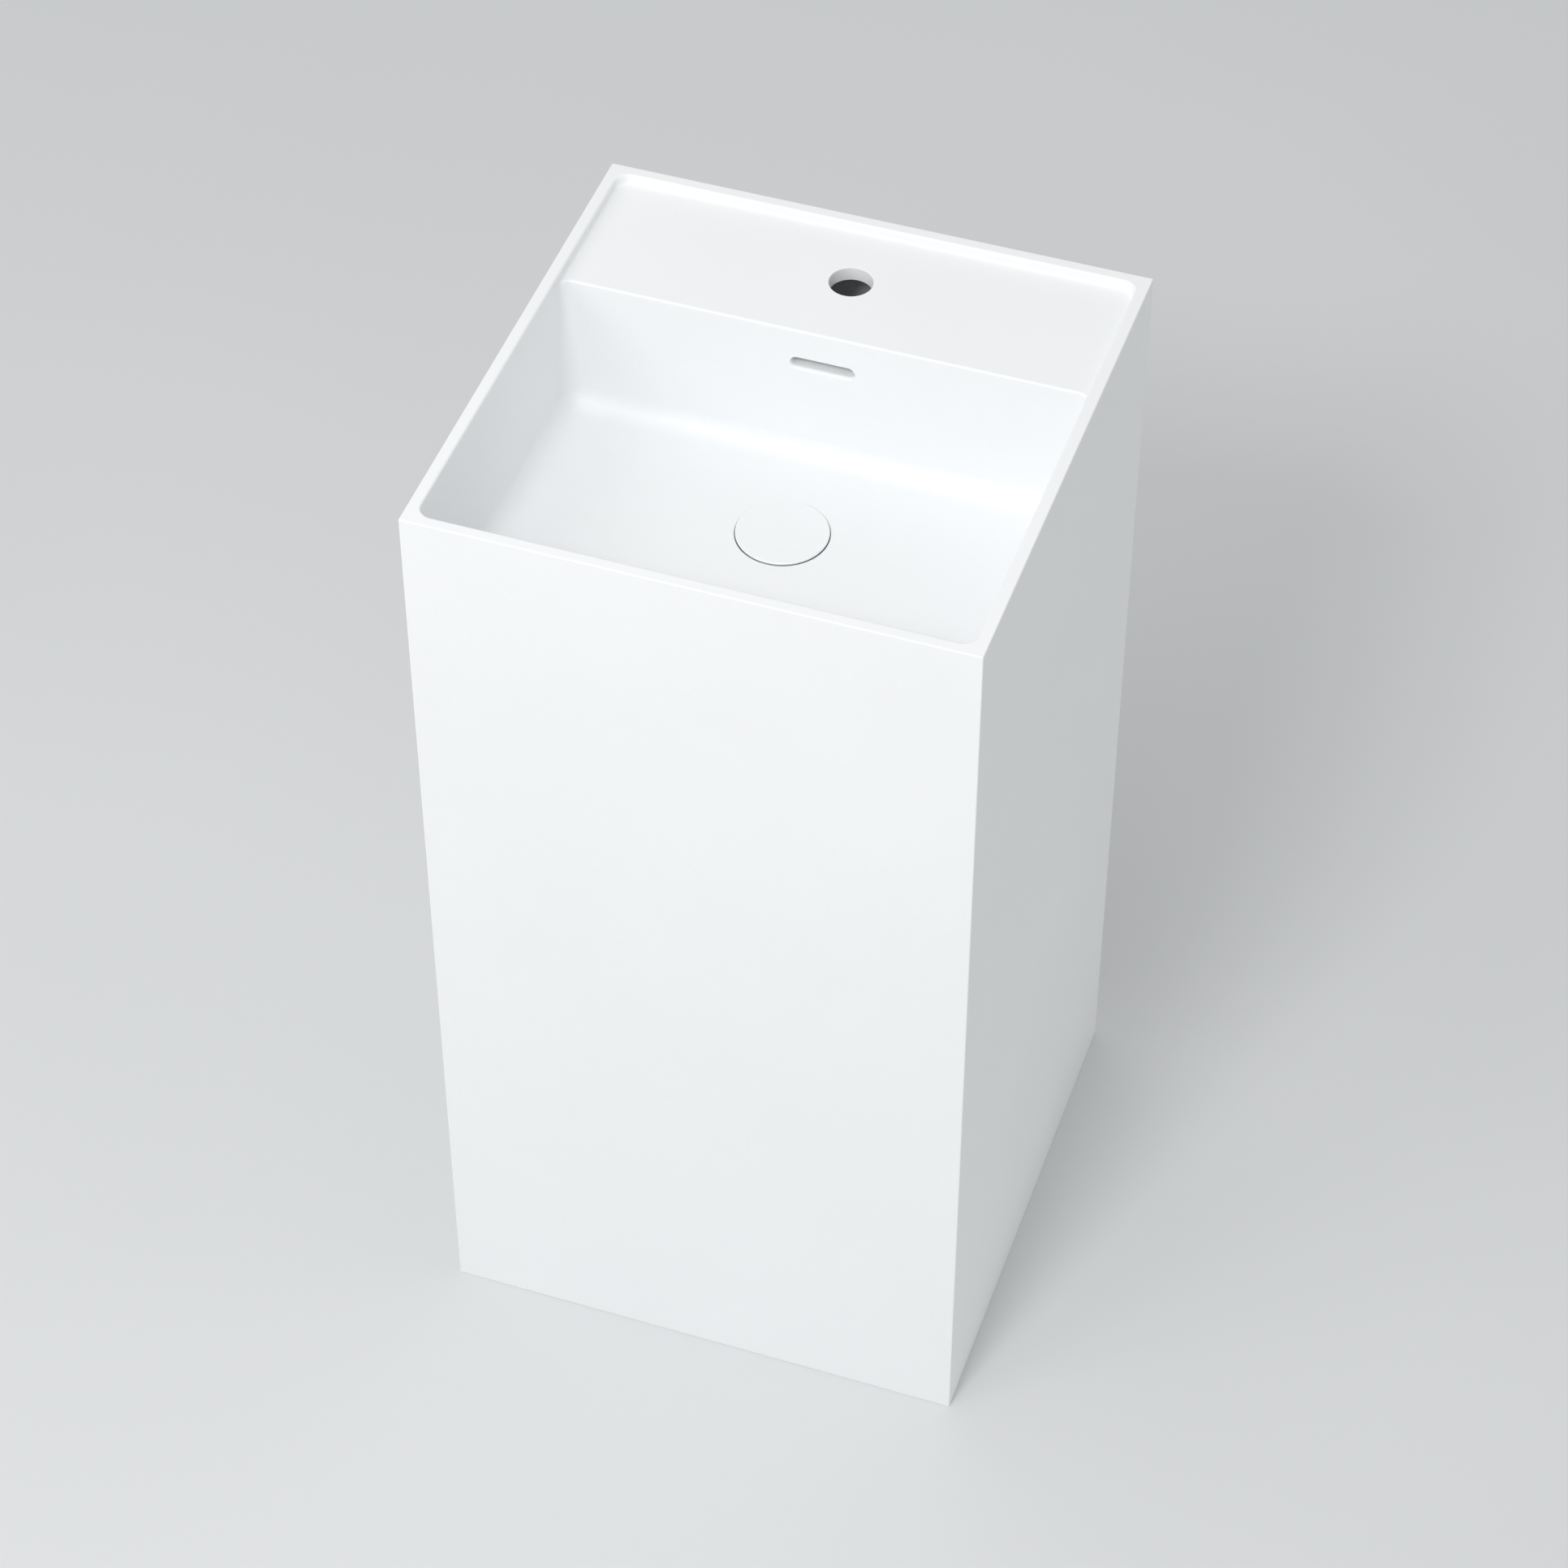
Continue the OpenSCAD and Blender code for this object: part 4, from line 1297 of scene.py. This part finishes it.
@dataclass
class Trap(Assembly):
    """The bottle trap with its tubes, union nuts and seals.

    Args:
        grips: Number of grip ribs on a nut.
        grip: Radius of a grip rib.
        nut_wall: Thickness of a nut's skirt.
        lip: Thickness of a nut's lip.
        hole: Radius of the hole in a nut's lip.
    """

    grips: int = 12
    grip: float = 1.6 * MM
    nut_wall: float = 4.5 * MM
    lip: float = 3 * MM
    hole: float = 16.35 * MM

    def nut(self, node: str, axis: str, mouth_high: bool) -> bpy.types.Object:
        """Makes a union nut with rounded grips that fade out at its shoulder.

        Args:
            node: The node whose place it takes.
            axis: The direction it lies along, "Y" or "Z".
            mouth_high: True where its open end is at the high end of that direction.

        Returns:
            The nut.
        """
        box, count = Extent(node), 192
        outer = box.size.x / 2 - self.grip
        thread, h = outer - self.nut_wall, box.size["XYZ".index(axis)]
        tip = Vector(box.middle)
        tip["XYZ".index(axis)] = (box.high if mouth_high else box.low)["XYZ".index(axis)]
        up = Vector((0, 0, 1)) if axis == "Z" else Vector((0, 1, 0))
        up = -up if mouth_high else up
        across = up.cross(Vector((1, 0, 0)))

        def loop(z: float, r: float, ribs: float) -> Loop:
            """Gives the nut's outline at a height.

            Args:
                z: Height above the nut's mouth.
                r: Radius between the grips.
                ribs: Share by which the grips stand out.

            Returns:
                The outline.
            """
            points = []
            for i in range(count):
                a = 2 * math.pi * i / count
                off = (a * self.grips / (2 * math.pi) + 0.5) % 1 - 0.5
                side = abs(off) * 2 * math.pi / self.grips * outer
                out = r + ribs * math.sqrt(max(self.grip ** 2 - side ** 2, 0))
                first, second = Vector((1, 0, 0)) * out * math.cos(a), across * out * math.sin(a)
                points.append(tip + up * z + first + second)
            return points

        fade = ((3.8, 1), (3.3, 0.8), (2.9, 0.35), (2.7, 0), (1.5, 0))
        sizes = [
            (0, outer - 0.5 * MM, 0.9), (0.5 * MM, outer, 1),
            *[(h - drop * MM, outer, ribs) for drop, ribs in fade],
            *[(h - drop * MM, outer - fall * MM, 0) for drop, fall in ((0.8, 0.25), (0.3, 0.8), (0, 1.6))],
            (h, self.hole + 0.3 * MM, 0), (h - 0.3 * MM, self.hole, 0), (h - self.lip, self.hole, 0),
            (h - self.lip, thread, 0), (0.4 * MM, thread, 0), (0, thread + 0.4 * MM, 0),
        ]
        return lofted(f"{node}_grip", [loop(*size) for size in sizes], ring=True)

    def build(self) -> list[str]:
        """Makes the nuts and dresses the rest of the trap.

        Returns:
            Names of the pieces.
        """
        names = []
        nuts = (("inlet_nut", "Z", True), ("tube_nut", "Z", False), ("outlet_nut", "Y", False))
        for node, axis, high in nuts:
            nut = dressed(smooth(self.nut(node, axis, high), 40), self.palette.slot(self.slot_of(node)))
            names.append(self.stand(nut, node))
        kept = (
            "inlet_washer", "inlet_tube", "tube_seal", "trap_head", "trap_cup", "cup_seal", "outlet_seal",
            "outlet_pipe")
        return [*names, *[self.keep(node, 0.5 * MM) for node in kept]]


@dataclass
class Brackets(Assembly):
    """The two steel brackets in the column's foot, with their screws and inserts."""

    def build(self) -> list[str]:
        """Dresses the brackets.

        Returns:
            Names of the pieces.
        """
        return [self.keep(node) for node in ("floor_brackets", "bracket_screws", "bracket_inserts")]


# ---- The room ----


@dataclass
class Lamp:
    """A soft panel of light.

    Args:
        name: Name of the light.
        place: Where it hangs.
        aim: The point it faces.
        size: Length of its sides.
        power: Its power in watts.
    """

    name: str
    place: tuple[float, float, float]
    aim: tuple[float, float, float]
    size: float
    power: float

    def hang(self) -> None:
        """Puts the panel in the scene."""
        data = bpy.data.lights.new(self.name, "AREA")
        data.shape = "DISK"
        data.size = self.size
        data.energy = self.power
        lamp = bpy.data.objects.new(self.name, data)
        lamp.location = self.place
        lamp.rotation_mode = "QUATERNION"
        lamp.rotation_quaternion = (Vector(self.aim) - Vector(self.place)).to_track_quat("-Z", "Y")
        bpy.context.scene.collection.objects.link(lamp)


@dataclass
class Studio:
    """A pale floor, soft panels of light and the camera.

    Args:
        floor_colour: Colour of the floor.
        floor_reach: Half the floor's width.
        ambient: Colour of the light from all round.
        ambient_strength: Its strength.
        eye: Where the camera stands.
        turn: How far the camera is turned to the left, in degrees.
        tilt: How far it looks down, in degrees.
        roll: How far it is rolled, in degrees.
        lens: Focal length in millimetres on a 36 mm sensor.
        lamps: The panels of light.
    """

    floor_colour: Colour = (0.722, 0.731, 0.738)
    floor_reach: float = 24.0
    ambient: Colour = (0.972, 0.985, 0.99)
    ambient_strength: float = 0.66
    eye: tuple[float, float, float] = (0.8226, -2.4109, 3.0711)
    turn: float = 18.88
    tilt: float = 45.60
    roll: float = 0.067
    lens: float = 101.36
    lamps: list[Lamp] = field(default_factory=lambda: [
        Lamp("key_panel", (-0.2, -2.3, 3.3), (0, 0, 0.45), 0.8, 42),
        Lamp("left_panel_light", (-1.7, -2.2, 2.6), (0, 0, 0.6), 1.6, 13.5),
        Lamp("low_panel_light", (-0.6, -3.8, 1.2), (0, 0, 0.5), 2.0, 4.5),
        Lamp("rear_panel_light", (-1.6, 2.2, 3.0), (0, 0, 0.6), 1.8, 3.2),
    ])

    def floor(self) -> None:
        """Lays the floor."""
        bm = bmesh.new()
        reach, cells = self.floor_reach, 12
        bmesh.ops.create_grid(bm, x_segments=cells, y_segments=cells, size=reach)
        ground = new_object("floor", bm)
        sheet = NodeSheet("floor_paint")
        drift = sheet.noise(1.2, 3).between(0.3, 0.7)
        sheet.feed(sheet.shader, {
            "Base Color": sheet.blend(drift, shaded(self.floor_colour, 0.985), self.floor_colour),
            "Roughness": 0.75 + (drift - 0.5) * 0.05,
        })
        dressed(ground, sheet.material)

    def light(self) -> None:
        """Sets the light from all round and hangs the panels."""
        scene = bpy.context.scene
        scene.view_settings.view_transform = "Standard"
        scene.view_settings.look = "None"
        world = bpy.data.worlds.new("studio_air")
        world.use_nodes = True
        back = world.node_tree.nodes["Background"]
        back.inputs["Color"].default_value = (*self.ambient, 1)
        back.inputs["Strength"].default_value = self.ambient_strength
        scene.world = world
        for lamp in self.lamps:
            lamp.hang()

    def camera(self) -> None:
        """Stands the camera in its place."""
        data = bpy.data.cameras.new("camera")
        data.lens = self.lens
        data.sensor_width = 36
        data.clip_start, data.clip_end = 0.05, 100
        camera = bpy.data.objects.new("camera", data)
        down = Matrix.Rotation(math.radians(90 - self.tilt), 4, "X")
        aside = Matrix.Rotation(math.radians(self.turn), 4, "Z")
        rolled = Matrix.Rotation(math.radians(self.roll), 4, "Z")
        camera.matrix_world = Matrix.Translation(self.eye) @ aside @ down @ rolled
        bpy.context.scene.collection.objects.link(camera)
        bpy.context.scene.camera = camera

    def build(self) -> None:
        """Sets up the whole room."""
        self.camera()
        self.light()
        self.floor()


def main() -> None:
    """Builds the room and every piece."""
    logging.basicConfig(level=logging.INFO, format="%(message)s")
    Studio().build()
    palette = Palette()
    for group in (StoneBody, DrainCover, Cartridge, Waste, Overflow, Trap, Brackets):
        for piece in group(palette).build():
            LOG.info("%s: %s", group.__name__, piece)


if __name__ == "__main__":
    main()
